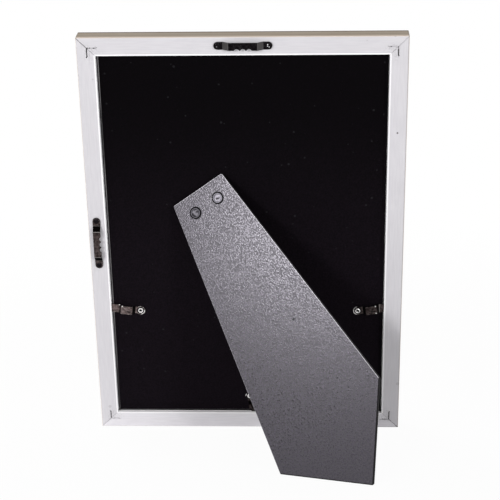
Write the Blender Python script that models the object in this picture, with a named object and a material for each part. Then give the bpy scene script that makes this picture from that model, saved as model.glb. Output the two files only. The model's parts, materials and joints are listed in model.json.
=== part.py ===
"""A4 certificate frame that stands on an easel leg, modelled in metres with +Z up.

Four mitred mouldings hold a glazing sheet, a certificate, a filler card and a backing board in
their rebate. Three cranked turn clips keep the board in, two sawtooth hangers carry the frame on
a wall either way up, and a leg on a small concealed hinge props it up on a table. The frame's
back faces -Y. The leg is open at rest: its top edge is the stop, and its foot lies flat.
"""

import math

import bmesh
import bpy
from mathutils import Vector

# Sheet on show
SHEET_WIDTH = 0.210
SHEET_HEIGHT = 0.297
SHEET_THICKNESS = 0.0003
SHEET_PLAY = 0.0015

# Moulding
RAIL_BACK_WIDTH = 0.0136
RAIL_DEPTH = 0.0160
LIP_WIDTH = 0.0055
BACK_CHAMFER = 0.0004
FRONT_ROUND = 0.0022
BEAD_RADIUS = 0.0012
BEAD_DROP = 0.0003
QUIRK_WIDTH = 0.0006
QUIRK_DEPTH = 0.0012
COVE_WIDTH = 0.0060
COVE_DEPTH = 0.0007
MITRE_GAP = 0.0002

# Groove in the rebate wall, where the clips' tips run
GROOVE_SETBACK = 0.0019
GROOVE_WIDTH = 0.0014
GROOVE_END_GAP = 0.0004

# Layers in the rebate, from the back
BOARD_RECESS = 0.0042
BOARD_THICKNESS = 0.0025
BOARD_PLAY = 0.0005
BOARD_CORNER = 0.0008
FILLER_THICKNESS = 0.0010
FILLER_PLAY = 0.0008
GLAZING_THICKNESS = 0.0015
GLAZING_PLAY = 0.0006
LAYER_GAP = 0.0002

# V-nails across the mitres
VNAIL_INSET = 0.0077
VNAIL_ARM = 0.0062
VNAIL_FLARE = 0.0011
VNAIL_FLARE_ANGLE = math.radians(32)
VNAIL_STEEL = 0.0005
VNAIL_HEIGHT = 0.0070
VNAIL_SETBACK = 0.0001
VNAIL_BEND = 0.0005

# Clearances
SEAT_GAP = 0.0003
FIT_GAP = 0.0002
CUT_OVERRUN = 0.0020

# Sawtooth hangers
HANGER_LENGTH = 0.0426
HANGER_WIDTH = 0.0058
HANGER_STEEL = 0.0007
HANGER_RISE = 0.0029
HANGER_TAB = 0.0068
HANGER_RAMP = 0.0038
HANGER_BEND = 0.0009
NOTCH_COUNT = 3
NOTCH_PITCH = 0.0045
NOTCH_RADIUS = 0.0021
NOTCH_DEPTH = 0.0013
HANGER_TOP_OUTWARD = 0.0006
HANGER_TOP_SHIFT = 0.0008
HANGER_LEFT_OUTWARD = 0.0003
HANGER_LEFT_SHIFT = 0.0010

# Nails of the hangers
NAIL_END_DISTANCE = 0.0028
NAIL_HEAD_RADIUS = 0.0021
NAIL_HEAD_HEIGHT = 0.0006
NAIL_SHANK_RADIUS = 0.0006
NAIL_LENGTH = 0.0080
NAIL_POINT = 0.0016

# Domed heads of the nails and of the board's rivets
DOME_TOP_SHARE = 0.67
DOME_RISE_SHARE = 0.17
DOME_SIDE_SHARE = 0.33

# Turn clips
CLIP_STEEL = 0.0008
CLIP_RING_RADIUS = 0.00345
CLIP_WIDTH = 0.0068
CLIP_NECK_WIDTH = 0.0056
CLIP_TIP_CORNER = 0.0007
CLIP_NECK_START = 0.0044
CLIP_BODY_START = 0.0063
CLIP_SIDE_BODY = 0.0090
CLIP_BOTTOM_BODY = 0.0040
CLIP_STEP = 0.0011
CLIP_RISE = 0.0029
CLIP_BEND = 0.0006
CLIP_SIDE_LENGTH = 0.0246
CLIP_BOTTOM_LENGTH = 0.0166
CLIP_LEFT_WALL = 0.0225
CLIP_RIGHT_WALL = 0.0203
CLIP_BOTTOM_WALL = 0.0136
CLIP_SIDE_HEIGHT = 0.1047
CLIP_BOTTOM_SHIFT = 0.0006
CLIP_LEFT_TILT = math.radians(7)
CLIP_RIGHT_TILT = math.radians(8.5)
CLIP_BOTTOM_TILT = math.radians(19)

# Tubular rivets of the clips
CLIP_RIVET_BORE = 0.0008
CLIP_RIVET_SHANK = 0.0014
CLIP_RIVET_FLANGE = 0.0021
CLIP_RIVET_FLANGE_HEIGHT = 0.0005
COUNTERBORE_DEPTH = 0.0009

# Hinge of the leg
HINGE_ANGLE = math.radians(35.9)
HINGE_CENTRE_X = -0.0312
HINGE_CENTRE_Z = 0.2016
HINGE_STEEL = 0.0008
HINGE_LEAF_WIDTH = 0.0340
HINGE_BOARD_LEAF = 0.0185
HINGE_LEG_LEAF = 0.0125
HINGE_LEAF_CORNER = 0.0025
HINGE_CURL_ANGLE = math.radians(275)
KNUCKLE_COUNT = 5
PIN_RADIUS = 0.00055
PIN_CLEARANCE = 0.00015
PIN_HEAD_RADIUS = 0.0011
PIN_HEAD_LENGTH = 0.0006

# Rivets that hold the hinge to the board
BOARD_RIVET_RADIUS = 0.0012
BOARD_RIVET_HEAD_RADIUS = 0.0021
BOARD_RIVET_HEAD_HEIGHT = 0.0005
BOARD_RIVET_END_DISTANCE = 0.0035

# Easel leg
LEG_OPEN_ANGLE = math.radians(28)
LEG_CORE = 0.0025
LEG_COVER = 0.0004
LEG_COVER_GAP = 0.0001
LEG_COVER_MARGIN = 0.0003
LEG_STANDING_MARGIN = 0.0009
LEG_TOP_WIDTH = 0.0462
LEG_SIDE_INSET = 0.0066
LEG_SIDE_TOP = 0.0779
LEG_FOOT_INSET = 0.0779
LEG_CORNER = 0.0012
LEG_EDGE_ROUND = 0.0004

# Tubular rivets of the leg
LEG_RIVET_SPACING = 0.0210
LEG_RIVET_DROP = 0.0140
LEG_RIVET_HEAD_RADIUS = 0.0039
LEG_RIVET_HEAD_HEIGHT = 0.0011
LEG_RIVET_RIM_WIDTH = 0.0013
LEG_RIVET_RIM_TURN = math.radians(150)
LEG_RIVET_DISH = 0.0006
LEG_RIVET_SHANK = 0.0019
LEG_RIVET_FLANGE = 0.0029
LEG_RIVET_FLANGE_HEIGHT = 0.0005
COVER_HOLE_RADIUS = 0.0046

# Facets
ROUND_STEPS = 24
PIN_STEPS = 16
CORNER_STEPS = 4
BEND_STEPS = 2
CURL_STEPS = 20
MERGE_DISTANCE = 0.000001
SMOOTH_ANGLE = math.radians(35)

# Sizes that follow from the ones above
OPENING_WIDTH = SHEET_WIDTH + 2 * SHEET_PLAY
OPENING_HEIGHT = SHEET_HEIGHT + 2 * SHEET_PLAY
OUTER_WIDTH = OPENING_WIDTH + 2 * RAIL_BACK_WIDTH
OUTER_HEIGHT = OPENING_HEIGHT + 2 * RAIL_BACK_WIDTH
MID_HEIGHT = OUTER_HEIGHT / 2
BOARD_FRONT = BOARD_RECESS + BOARD_THICKNESS
FILLER_BACK = BOARD_FRONT + LAYER_GAP
SHEET_BACK = FILLER_BACK + FILLER_THICKNESS + LAYER_GAP
GLAZING_BACK = SHEET_BACK + SHEET_THICKNESS + LAYER_GAP
LIP_BACK = GLAZING_BACK + GLAZING_THICKNESS + LAYER_GAP
GROOVE_CENTRE = GROOVE_SETBACK + GROOVE_WIDTH / 2
CLIP_TAB_PLANE = BOARD_RECESS - SEAT_GAP - CLIP_STEEL / 2
CLIP_LEFT_X = CLIP_LEFT_WALL - OPENING_WIDTH / 2
CLIP_RIGHT_X = OPENING_WIDTH / 2 - CLIP_RIGHT_WALL
CLIP_BOTTOM_Z = RAIL_BACK_WIDTH + CLIP_BOTTOM_WALL
CLIP_SIDE_SWEEP = math.hypot(CLIP_SIDE_LENGTH, CLIP_WIDTH / 2) - min(CLIP_LEFT_WALL, CLIP_RIGHT_WALL)
CLIP_BOTTOM_SWEEP = math.hypot(CLIP_BOTTOM_LENGTH, CLIP_WIDTH / 2) - CLIP_BOTTOM_WALL
GROOVE_DEPTH = max(CLIP_SIDE_SWEEP, CLIP_BOTTOM_SWEEP) + GROOVE_END_GAP
HINGE_CURL_RADIUS = PIN_RADIUS + PIN_CLEARANCE + HINGE_STEEL / 2
KNUCKLE_RADIUS = HINGE_CURL_RADIUS + HINGE_STEEL / 2
HINGE_DEPTH = BOARD_RECESS - SEAT_GAP - KNUCKLE_RADIUS
LEG_FACE_OFFSET = KNUCKLE_RADIUS + SEAT_GAP
LEG_SWING_SINE = math.sin(LEG_OPEN_ANGLE)
LEG_SWING_COSINE = math.cos(LEG_OPEN_ANGLE)
HINGE_SINE = math.sin(HINGE_ANGLE)
HINGE_COSINE = math.cos(HINGE_ANGLE)

# The leg's top edge stops against the board, which sets how far below it the hinge lies
LEG_STOP_REACH = BOARD_RECESS - SEAT_GAP - HINGE_DEPTH + LEG_FACE_OFFSET * LEG_SWING_COSINE
HINGE_DROP = LEG_STOP_REACH / LEG_SWING_SINE

# The frame leans back until the foot, which is level with the bottom rail when shut, lies flat
LEAN = math.atan(HINGE_COSINE * math.tan(LEG_OPEN_ANGLE / 2))


def foot_distance():
    """Distance from the hinge down to the table line, measured along the middle of the leg."""
    behind = (HINGE_DEPTH - LEG_FACE_OFFSET * LEG_SWING_COSINE) * math.sin(LEAN)
    above = (HINGE_CENTRE_Z + LEG_FACE_OFFSET * LEG_SWING_SINE * HINGE_COSINE) * math.cos(LEAN)
    slope = LEG_SWING_SINE * math.sin(LEAN) + LEG_SWING_COSINE * HINGE_COSINE * math.cos(LEAN)
    return (behind + above) / slope


def clear_scene():
    """Removes every object, so that the script can run again in an open file."""
    for item in list(bpy.data.objects):
        bpy.data.objects.remove(item, do_unlink=True)


def make_material(name, colour, roughness, metallic=0.0, alpha=1.0):
    """Plain Principled material in the colour of one finish."""
    material = bpy.data.materials.new(name)
    material.use_nodes = True
    shader = material.node_tree.nodes["Principled BSDF"]
    shader.inputs["Base Color"].default_value = (*colour, 1.0)
    shader.inputs["Roughness"].default_value = roughness
    shader.inputs["Metallic"].default_value = metallic
    shader.inputs["Alpha"].default_value = alpha
    material.diffuse_color = (*colour, alpha)
    return material


def make_empty(name, parent, location, rotation):
    """Empty that carries the pieces of one group."""
    holder = bpy.data.objects.new(name, None)
    bpy.context.collection.objects.link(holder)
    holder.parent = parent
    holder.location = location
    holder.rotation_euler = rotation
    return holder


def make_object(name, shape, material, parent, location=(0, 0, 0), rotation=(0, 0, 0), smooth=False):
    """Object from a finished bmesh, placed under its parent."""
    bmesh.ops.recalc_face_normals(shape, faces=shape.faces)
    mesh = bpy.data.meshes.new(name)
    shape.to_mesh(mesh)
    shape.free()
    if smooth:
        mesh.shade_smooth()
        mesh.set_sharp_from_angle(angle=SMOOTH_ANGLE)
    item = bpy.data.objects.new(name, mesh)
    bpy.context.collection.objects.link(item)
    item.parent = parent
    item.location = location
    item.rotation_euler = rotation
    if material:
        mesh.materials.append(material)
    return item


def make_cutter(name, shape, parent, location=(0, 0, 0), rotation=(0, 0, 0)):
    """Tool for a Boolean, kept out of the model."""
    cutter = make_object(name, shape, None, parent, location, rotation)
    cutter.hide_render = True
    cutter.display_type = "WIRE"
    return cutter


def apply_boolean(target, cutter, operation="DIFFERENCE"):
    """Adds one exact Boolean to a piece."""
    modifier = target.modifiers.new(cutter.name, "BOOLEAN")
    modifier.operation = operation
    modifier.solver = "EXACT"
    modifier.object = cutter


def arc(centre, radius, start, end, steps):
    """Points along part of a circle, both ends included."""
    turn = (end - start) / steps
    angles = [start + turn * step for step in range(steps + 1)]
    return [(centre[0] + radius * math.cos(a), centre[1] + radius * math.sin(a)) for a in angles]


def fillet(before, corner, after, radius, steps):
    """Arc that rounds one corner of a line, no longer than the sides allow."""
    to_before = before - corner
    to_after = after - corner
    half = to_before.angle(to_after) / 2
    longest = min(to_before.length, to_after.length) / 2
    tangent = min(radius / math.tan(half), longest)
    radius = tangent * math.tan(half)
    middle = (to_before.normalized() + to_after.normalized()).normalized()
    centre = corner + middle * radius / math.sin(half)
    first = corner + to_before.normalized() * tangent - centre
    last = corner + to_after.normalized() * tangent - centre
    sweep = first.angle_signed(last)
    start = math.atan2(first.y, first.x)
    return arc(centre, radius, start, start - sweep, steps)


def rounded(points, radius, steps, closed):
    """Line or outline with its corners rounded."""
    points = [Vector(point) for point in points]
    count = len(points)
    result = []
    for index, corner in enumerate(points):
        if not closed and index in (0, count - 1):
            result.append(tuple(corner))
            continue
        before = points[index - 1]
        after = points[(index + 1) % count]
        result += fillet(before, corner, after, radius, steps)
    return result


def strip_outline(points, thickness):
    """Closed outline of a metal strip of even thickness, folded along a line of points."""
    points = [Vector(point) for point in points]
    left, right = [], []
    for index, point in enumerate(points):
        before = points[max(index - 1, 0)]
        after = points[min(index + 1, len(points) - 1)]
        leave = (after - point) if after != point else (point - before)
        arrive = (point - before) if point != before else leave
        along = (arrive.normalized() + leave.normalized()).normalized()
        across = Vector((-along.y, along.x))
        reach = thickness / 2 / along.dot(leave.normalized())
        left.append(tuple(point + across * reach))
        right.append(tuple(point - across * reach))
    return left + right[::-1]


def spread(first, second, height, along):
    """Place in space of a point on an outline that is drawn square to one axis."""
    if along == "X":
        return (height, first, second)
    if along == "Y":
        return (first, height, second)
    return (first, second, height)


def prism(outline, along, start, end):
    """Solid between two copies of an outline."""
    shape = bmesh.new()
    ring = [shape.verts.new(spread(a, b, start, along)) for a, b in outline]
    face = shape.faces.new(ring)
    extruded = bmesh.ops.extrude_face_region(shape, geom=[face])["geom"]
    far = [item for item in extruded if isinstance(item, bmesh.types.BMVert)]
    offset = Vector(spread(0, 0, end - start, along))
    bmesh.ops.translate(shape, vec=offset, verts=far)
    return shape


def rectangle(width, height, centre=(0, 0)):
    """Corner points of a rectangle."""
    half_width = width / 2
    half_height = height / 2
    signs = ((-1, -1), (1, -1), (1, 1), (-1, 1))
    return [(centre[0] + x * half_width, centre[1] + z * half_height) for x, z in signs]


def turned(profile, steps, closed=True):
    """Round solid from a profile of radius and place along Y, turned about the Y axis."""
    shape = bmesh.new()
    verts = [shape.verts.new((radius, along, 0)) for radius, along in profile]
    following = verts[1:] + verts[:1] if closed else verts[1:]
    edges = [shape.edges.new(pair) for pair in zip(verts, following)]
    bmesh.ops.spin(
        shape, geom=verts + edges, cent=(0, 0, 0), axis=(0, 1, 0), angle=math.tau, steps=steps, use_merge=True
    )
    bmesh.ops.remove_doubles(shape, verts=shape.verts, dist=MERGE_DISTANCE)
    return shape


def drill(radius, start, end, steps=ROUND_STEPS):
    """Round cutter along Y."""
    return turned([(0, start), (radius, start), (radius, end), (0, end)], steps, closed=False)


def moved(shape, x, z):
    """The same shape, shifted in the plane square to Y."""
    bmesh.ops.translate(shape, vec=(x, 0, z), verts=shape.verts)
    return shape


def rail_profile():
    """Outline of the moulding: distance in from its outer side, and depth from its back."""
    sight = RAIL_BACK_WIDTH + LIP_WIDTH
    groove_back = GROOVE_SETBACK + GROOVE_WIDTH
    groove_floor = RAIL_BACK_WIDTH - GROOVE_DEPTH
    bead_centre = (sight - BEAD_RADIUS, RAIL_DEPTH - BEAD_DROP - BEAD_RADIUS)
    bead_inner = sight - 2 * BEAD_RADIUS
    quirk_outer = bead_inner - QUIRK_WIDTH
    quirk_floor = RAIL_DEPTH - QUIRK_DEPTH
    cove_inner = quirk_outer - QUIRK_WIDTH
    cove_outer = cove_inner - COVE_WIDTH
    cove_radius = (COVE_WIDTH**2 / 4 + COVE_DEPTH**2) / (2 * COVE_DEPTH)
    cove_half = math.asin(COVE_WIDTH / 2 / cove_radius)
    cove_centre = ((cove_inner + cove_outer) / 2, RAIL_DEPTH - COVE_DEPTH + cove_radius)
    down = -math.pi / 2
    outline = [
        (BACK_CHAMFER, 0),
        (RAIL_BACK_WIDTH, 0),
        (RAIL_BACK_WIDTH, GROOVE_SETBACK),
        (groove_floor, GROOVE_SETBACK),
        (groove_floor, groove_back),
        (RAIL_BACK_WIDTH, groove_back),
        (RAIL_BACK_WIDTH, LIP_BACK),
        (sight, LIP_BACK),
    ]
    outline += arc(bead_centre, BEAD_RADIUS, 0, math.pi, 2 * CORNER_STEPS)
    outline += [(bead_inner, quirk_floor), (quirk_outer, quirk_floor), (quirk_outer, RAIL_DEPTH)]
    outline += arc(cove_centre, cove_radius, down + cove_half, down - cove_half, 2 * CORNER_STEPS)
    outer_centre = (FRONT_ROUND, RAIL_DEPTH - FRONT_ROUND)
    outline += arc(outer_centre, FRONT_ROUND, math.pi / 2, math.pi, CORNER_STEPS)
    outline.append((0, BACK_CHAMFER))
    return outline


def make_rail(name, length, location, turn, parent, material):
    """Moulding with a 45 degree mitre at each end; its outer side lies on its own X axis."""
    outline = rail_profile()
    half = length / 2 - MITRE_GAP / math.sqrt(2)
    shape = bmesh.new()
    ring = [shape.verts.new((inward - half, depth, inward)) for inward, depth in outline]
    face = shape.faces.new(ring)
    extruded = bmesh.ops.extrude_face_region(shape, geom=[face])["geom"]
    for item in extruded:
        if isinstance(item, bmesh.types.BMVert):
            item.co.x = -item.co.x
    return make_object(name, shape, material, parent, location, (0, turn, 0))


def vnail_line(extra):
    """Centre line of a V-nail, with its arms along +X and +Z and its tips flared outwards."""
    flare_along = VNAIL_FLARE * math.cos(VNAIL_FLARE_ANGLE) + extra
    flare_across = VNAIL_FLARE * math.sin(VNAIL_FLARE_ANGLE)
    start = (VNAIL_ARM + flare_along, -flare_across)
    end = (-flare_across, VNAIL_ARM + flare_along)
    return [start, (VNAIL_ARM, 0), (0, 0), (0, VNAIL_ARM), end]


def vnail_shape(clearance, back, front):
    """V-nail, or with a clearance the slot that it makes."""
    line = rounded(vnail_line(clearance), VNAIL_BEND, BEND_STEPS, closed=False)
    outline = strip_outline(line, VNAIL_STEEL + 2 * clearance)
    return prism(outline, "Y", back, front)


def make_vnails(parent, rails, material):
    """One V-nail across each mitre, in slots cut in both rails."""
    edge = OUTER_WIDTH / 2 - VNAIL_INSET
    low = VNAIL_INSET
    high = OUTER_HEIGHT - VNAIL_INSET
    quarter = math.pi / 2
    corners = {
        "bottom_left": (-edge, low, 0),
        "bottom_right": (edge, low, -quarter),
        "top_right": (edge, high, 2 * quarter),
        "top_left": (-edge, high, quarter),
    }
    for corner, (x, z, turn) in corners.items():
        place = ((x, 0, z), (0, turn, 0))
        front = VNAIL_SETBACK + VNAIL_HEIGHT
        make_object(f"v_nail_{corner}", vnail_shape(0, VNAIL_SETBACK, front), material, parent, *place)
        slot = make_cutter(
            f"cut_v_nail_{corner}", vnail_shape(FIT_GAP, -CUT_OVERRUN, front + FIT_GAP), parent, *place
        )
        for side in corner.split("_"):
            apply_boolean(rails[side], slot)


def make_panel(name, width, height, back, thickness, parent, material, corner=0):
    """Flat sheet in the rebate."""
    outline = rectangle(width, height)
    if corner:
        outline = rounded(outline, corner, CORNER_STEPS, closed=True)
    shape = prism(outline, "Y", 0, thickness)
    return make_object(name, shape, material, parent, (0, back, MID_HEIGHT))


def hanger_side():
    """Side profile of a hanger: two tabs on the wood, and a raised bar between them."""
    plane = -(SEAT_GAP + HANGER_STEEL / 2)
    raised = plane - HANGER_RISE
    end = HANGER_LENGTH / 2
    foot = end - HANGER_TAB
    shoulder = foot - HANGER_RAMP
    right = [(shoulder, raised), (foot, plane), (end, plane)]
    left = [(-x, y) for x, y in reversed(right)]
    return strip_outline(rounded(left + right, HANGER_BEND, BEND_STEPS, closed=False), HANGER_STEEL)


def hanger_plan():
    """Plan of a hanger: round ended tabs, and notches that leave teeth along its lower edge."""
    half = HANGER_WIDTH / 2
    end = HANGER_LENGTH / 2 - half
    quarter = math.pi / 2
    plan = arc((end, 0), half, -quarter, quarter, 2 * CORNER_STEPS)
    plan += arc((-end, 0), half, quarter, 3 * quarter, 2 * CORNER_STEPS)
    spread_angle = math.acos(1 - NOTCH_DEPTH / NOTCH_RADIUS)
    first = -NOTCH_PITCH * (NOTCH_COUNT - 1) / 2
    for index in range(NOTCH_COUNT):
        centre = (first + NOTCH_PITCH * index, NOTCH_DEPTH - NOTCH_RADIUS - half)
        plan += arc(centre, NOTCH_RADIUS, quarter + spread_angle, quarter - spread_angle, CORNER_STEPS)
    return plan


def dome(radius, base, top):
    """Half section of a domed head, from the middle of its top to the foot of its side."""
    height = base - top
    shoulder = (radius * DOME_TOP_SHARE, top + height * DOME_RISE_SHARE)
    return [(0, top), shoulder, (radius, base - height * DOME_SIDE_SHARE), (radius, base)]


def nail_profile():
    """Half section of a round headed nail, from the top of its head to its point."""
    head_base = -(SEAT_GAP + HANGER_STEEL + FIT_GAP)
    head_top = head_base - NAIL_HEAD_HEIGHT
    tip = head_base + NAIL_LENGTH
    shank = [(NAIL_SHANK_RADIUS, head_base), (NAIL_SHANK_RADIUS, tip - NAIL_POINT), (0, tip)]
    return dome(NAIL_HEAD_RADIUS, head_base, head_top) + shank


def join_shapes(shapes):
    """One bmesh from several that don't touch."""
    whole = bmesh.new()
    for shape in shapes:
        part = bpy.data.meshes.new("part")
        shape.to_mesh(part)
        shape.free()
        whole.from_mesh(part)
        bpy.data.meshes.remove(part)
    return whole


def make_hanger(name, nail_ends, rail, location, turn, parent, steel, nail_steel):
    """Hanger and its two nails, which go into holes in the rail."""
    place = (location, (0, turn, 0))
    nail_x = HANGER_LENGTH / 2 - NAIL_END_DISTANCE
    hanger = make_object(name, prism(hanger_side(), "Z", -HANGER_WIDTH, HANGER_WIDTH), steel, parent, *place)
    plan = prism(hanger_plan(), "Y", -HANGER_LENGTH / 2, CUT_OVERRUN)
    apply_boolean(hanger, make_cutter(f"plan_{name}", plan, parent, *place), "INTERSECT")
    hole_radius = NAIL_SHANK_RADIUS + FIT_GAP
    holes, pilots = [], []
    for end, x in zip(nail_ends, (-nail_x, nail_x)):
        holes.append(moved(drill(hole_radius, -HANGER_LENGTH / 2, CUT_OVERRUN, PIN_STEPS), x, 0))
        pilots.append(moved(drill(hole_radius, -CUT_OVERRUN, NAIL_LENGTH, PIN_STEPS), x, 0))
        nail = moved(turned(nail_profile(), PIN_STEPS, closed=False), x, 0)
        make_object(f"{name}_nail_{end}", nail, nail_steel, parent, *place, smooth=True)
    apply_boolean(hanger, make_cutter(f"holes_{name}", join_shapes(holes), parent, *place))
    apply_boolean(rail, make_cutter(f"pilots_{name}", join_shapes(pilots), parent, *place))


def clip_side(body, tip):
    """Side profile of a turn clip: ring tab on the board, raised body, and tip in the groove."""
    body_plane = CLIP_TAB_PLANE - CLIP_RISE
    body_end = CLIP_BODY_START + body
    line = [
        (CLIP_TAB_PLANE, 2 * CLIP_RING_RADIUS),
        (CLIP_TAB_PLANE, -CLIP_NECK_START),
        (body_plane, -CLIP_BODY_START),
        (body_plane, -body_end),
        (GROOVE_CENTRE, -body_end - CLIP_STEP),
        (GROOVE_CENTRE, -2 * tip),
    ]
    return strip_outline(rounded(line, CLIP_BEND, BEND_STEPS, closed=False), CLIP_STEEL)


def clip_plan(tip):
    """Plan of a turn clip: round at the ring, with a narrower neck at the first bend."""
    half = CLIP_WIDTH / 2
    neck = CLIP_NECK_WIDTH / 2
    neck_middle = (CLIP_NECK_START + CLIP_BODY_START) / 2
    blend = half - neck
    lean_in = math.acos(neck / CLIP_RING_RADIUS)
    plan = arc((0, 0), CLIP_RING_RADIUS, -lean_in, math.pi + lean_in, 4 * CORNER_STEPS)
    left = [(-neck, -neck_middle), (-half, -CLIP_BODY_START - blend)]
    corner = (-half + CLIP_TIP_CORNER, -tip + CLIP_TIP_CORNER)
    tip_left = arc(corner, CLIP_TIP_CORNER, math.pi, 3 * math.pi / 2, BEND_STEPS)
    plan += left + tip_left
    plan += [(-x, z) for x, z in reversed(left + tip_left)]
    return plan


def clip_rivet_profile():
    """Section of a tubular rivet, from its rolled outer flange to its flange in the counterbore."""
    outer_face = CLIP_TAB_PLANE - CLIP_STEEL / 2 - FIT_GAP
    outer_top = outer_face - CLIP_RIVET_FLANGE_HEIGHT
    inner_face = BOARD_FRONT - COUNTERBORE_DEPTH + FIT_GAP
    inner_top = inner_face + CLIP_RIVET_FLANGE_HEIGHT
    rim = (CLIP_RIVET_BORE + CLIP_RIVET_FLANGE) / 2
    rim_radius = (CLIP_RIVET_FLANGE - CLIP_RIVET_BORE) / 2
    roll = arc((0, 0), 1, 0, -math.pi, 2 * CORNER_STEPS)
    rolled = [(rim + x * rim_radius, outer_face + y * (outer_face - outer_top)) for x, y in roll]
    inside = [(CLIP_RIVET_BORE, inner_top), (CLIP_RIVET_FLANGE, inner_top), (CLIP_RIVET_FLANGE, inner_face)]
    shank = [(CLIP_RIVET_SHANK, inner_face), (CLIP_RIVET_SHANK, outer_face)]
    return rolled + inside + shank


def make_clip(side, location, turn, body, tip, parent, board, steel, rivet_steel):
    """Turn clip on its rivet; its empty is on the axis that it turns about."""
    pivot = make_empty(f"clip_pivot_{side}", parent, (location[0], 0, location[1]), (0, turn, 0))
    width = 2 * CLIP_WIDTH
    clip = make_object(f"turn_clip_{side}", prism(clip_side(body, tip), "X", -width, width), steel, pivot)
    plan = prism(clip_plan(tip), "Y", -CUT_OVERRUN, BOARD_RECESS + CUT_OVERRUN)
    apply_boolean(clip, make_cutter(f"plan_turn_clip_{side}", plan, pivot), "INTERSECT")
    bore = drill(CLIP_RIVET_SHANK + FIT_GAP, -CUT_OVERRUN, BOARD_FRONT + CUT_OVERRUN)
    bore_cutter = make_cutter(f"bore_turn_clip_{side}", bore, pivot)
    apply_boolean(clip, bore_cutter)
    seat = make_empty(f"clip_seat_{side}", parent, (location[0], 0, location[1]), (0, 0, 0))
    rivet = turned(clip_rivet_profile(), ROUND_STEPS)
    make_object(f"clip_rivet_{side}", rivet, rivet_steel, seat, smooth=True)
    counterbore_radius = CLIP_RIVET_FLANGE + FIT_GAP
    stepped = turned(
        [
            (0, BOARD_RECESS - CUT_OVERRUN),
            (CLIP_RIVET_SHANK + FIT_GAP, BOARD_RECESS - CUT_OVERRUN),
            (CLIP_RIVET_SHANK + FIT_GAP, BOARD_FRONT - COUNTERBORE_DEPTH),
            (counterbore_radius, BOARD_FRONT - COUNTERBORE_DEPTH),
            (counterbore_radius, BOARD_FRONT + CUT_OVERRUN),
            (0, BOARD_FRONT + CUT_OVERRUN),
        ],
        ROUND_STEPS,
        closed=False,
    )
    apply_boolean(board, make_cutter(f"bore_board_{side}", stepped, seat))


def knuckle_spans(first):
    """Stretches along the pin that one leaf's knuckles take, every second one."""
    pitch = HINGE_LEAF_WIDTH / KNUCKLE_COUNT
    start = -HINGE_LEAF_WIDTH / 2
    return [(start + pitch * index, start + pitch * (index + 1)) for index in range(first, KNUCKLE_COUNT, 2)]


def leaf_outline(length, side):
    """Side profile of a leaf: flat plate below the pin, then a curl round it."""
    flat = [(side * HINGE_CURL_RADIUS, -length)]
    start = 0 if side > 0 else math.pi
    curl = arc((0, 0), HINGE_CURL_RADIUS, start, start + side * HINGE_CURL_ANGLE, CURL_STEPS)
    return strip_outline(flat + curl, HINGE_STEEL)


def make_leaf(name, length, side, first_notch, hole_places, hole_radius, parent, material):
    """Hinge leaf, with room for the other leaf's knuckles, round lower corners and rivet holes."""
    half = HINGE_LEAF_WIDTH / 2
    plate = prism(leaf_outline(length, side), "X", -half, half)
    leaf = make_object(name, plate, material, parent, smooth=True)
    reach = 2 * KNUCKLE_RADIUS
    top = KNUCKLE_RADIUS + CUT_OVERRUN
    corner_centre = (half - HINGE_LEAF_CORNER, HINGE_LEAF_CORNER - length)
    corner = arc(corner_centre, HINGE_LEAF_CORNER, -math.pi / 2, 0, CORNER_STEPS)
    plan = [(-x, z) for x, z in reversed(corner)] + corner
    plan += [(half + CUT_OVERRUN, -KNUCKLE_RADIUS), (half + CUT_OVERRUN, top)]
    plan += [(-half - CUT_OVERRUN, top), (-half - CUT_OVERRUN, -KNUCKLE_RADIUS)]
    plan_cutter = make_cutter(f"plan_{name}", prism(plan, "Y", -reach, reach), parent)
    apply_boolean(leaf, plan_cutter, "INTERSECT")
    notches = []
    for start, end in knuckle_spans(first_notch):
        low = start - (CUT_OVERRUN if start <= -half else FIT_GAP)
        high = end + (CUT_OVERRUN if end >= half else FIT_GAP)
        bottom = -KNUCKLE_RADIUS - SEAT_GAP
        box = rectangle(high - low, top - bottom, ((high + low) / 2, (top + bottom) / 2))
        notches.append(prism(box, "Y", -reach, reach))
    apply_boolean(leaf, make_cutter(f"notches_{name}", join_shapes(notches), parent))
    holes = [moved(drill(hole_radius, -reach, reach), x, z) for x, z in hole_places]
    apply_boolean(leaf, make_cutter(f"holes_{name}", join_shapes(holes), parent))
    return leaf


def make_pin(parent, material):
    """Hinge pin with a peened head at each end, along the hinge's own X axis."""
    end = HINGE_LEAF_WIDTH / 2 + FIT_GAP
    profile = [
        (0, -end - PIN_HEAD_LENGTH),
        (PIN_HEAD_RADIUS, -end - PIN_HEAD_LENGTH / 2),
        (PIN_HEAD_RADIUS, -end),
        (PIN_RADIUS, -end),
        (PIN_RADIUS, end),
        (PIN_HEAD_RADIUS, end),
        (PIN_HEAD_RADIUS, end + PIN_HEAD_LENGTH / 2),
        (0, end + PIN_HEAD_LENGTH),
    ]
    shape = turned(profile, PIN_STEPS, closed=False)
    make_object("hinge_pin", shape, material, parent, (0, 0, 0), (0, 0, -math.pi / 2), smooth=True)


def board_rivet_profile():
    """Half section of a solid rivet through the board's leaf and the board."""
    leaf_face = KNUCKLE_RADIUS - HINGE_STEEL - FIT_GAP
    board_front = BOARD_FRONT - HINGE_DEPTH
    inner_face = board_front - COUNTERBORE_DEPTH + FIT_GAP
    head_top = leaf_face - BOARD_RIVET_HEAD_HEIGHT
    return dome(BOARD_RIVET_HEAD_RADIUS, leaf_face, head_top) + [
        (BOARD_RIVET_RADIUS, leaf_face),
        (BOARD_RIVET_RADIUS, inner_face),
        (BOARD_RIVET_HEAD_RADIUS, inner_face),
        (BOARD_RIVET_HEAD_RADIUS, inner_face + BOARD_RIVET_HEAD_HEIGHT),
        (0, inner_face + BOARD_RIVET_HEAD_HEIGHT),
    ]


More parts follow.
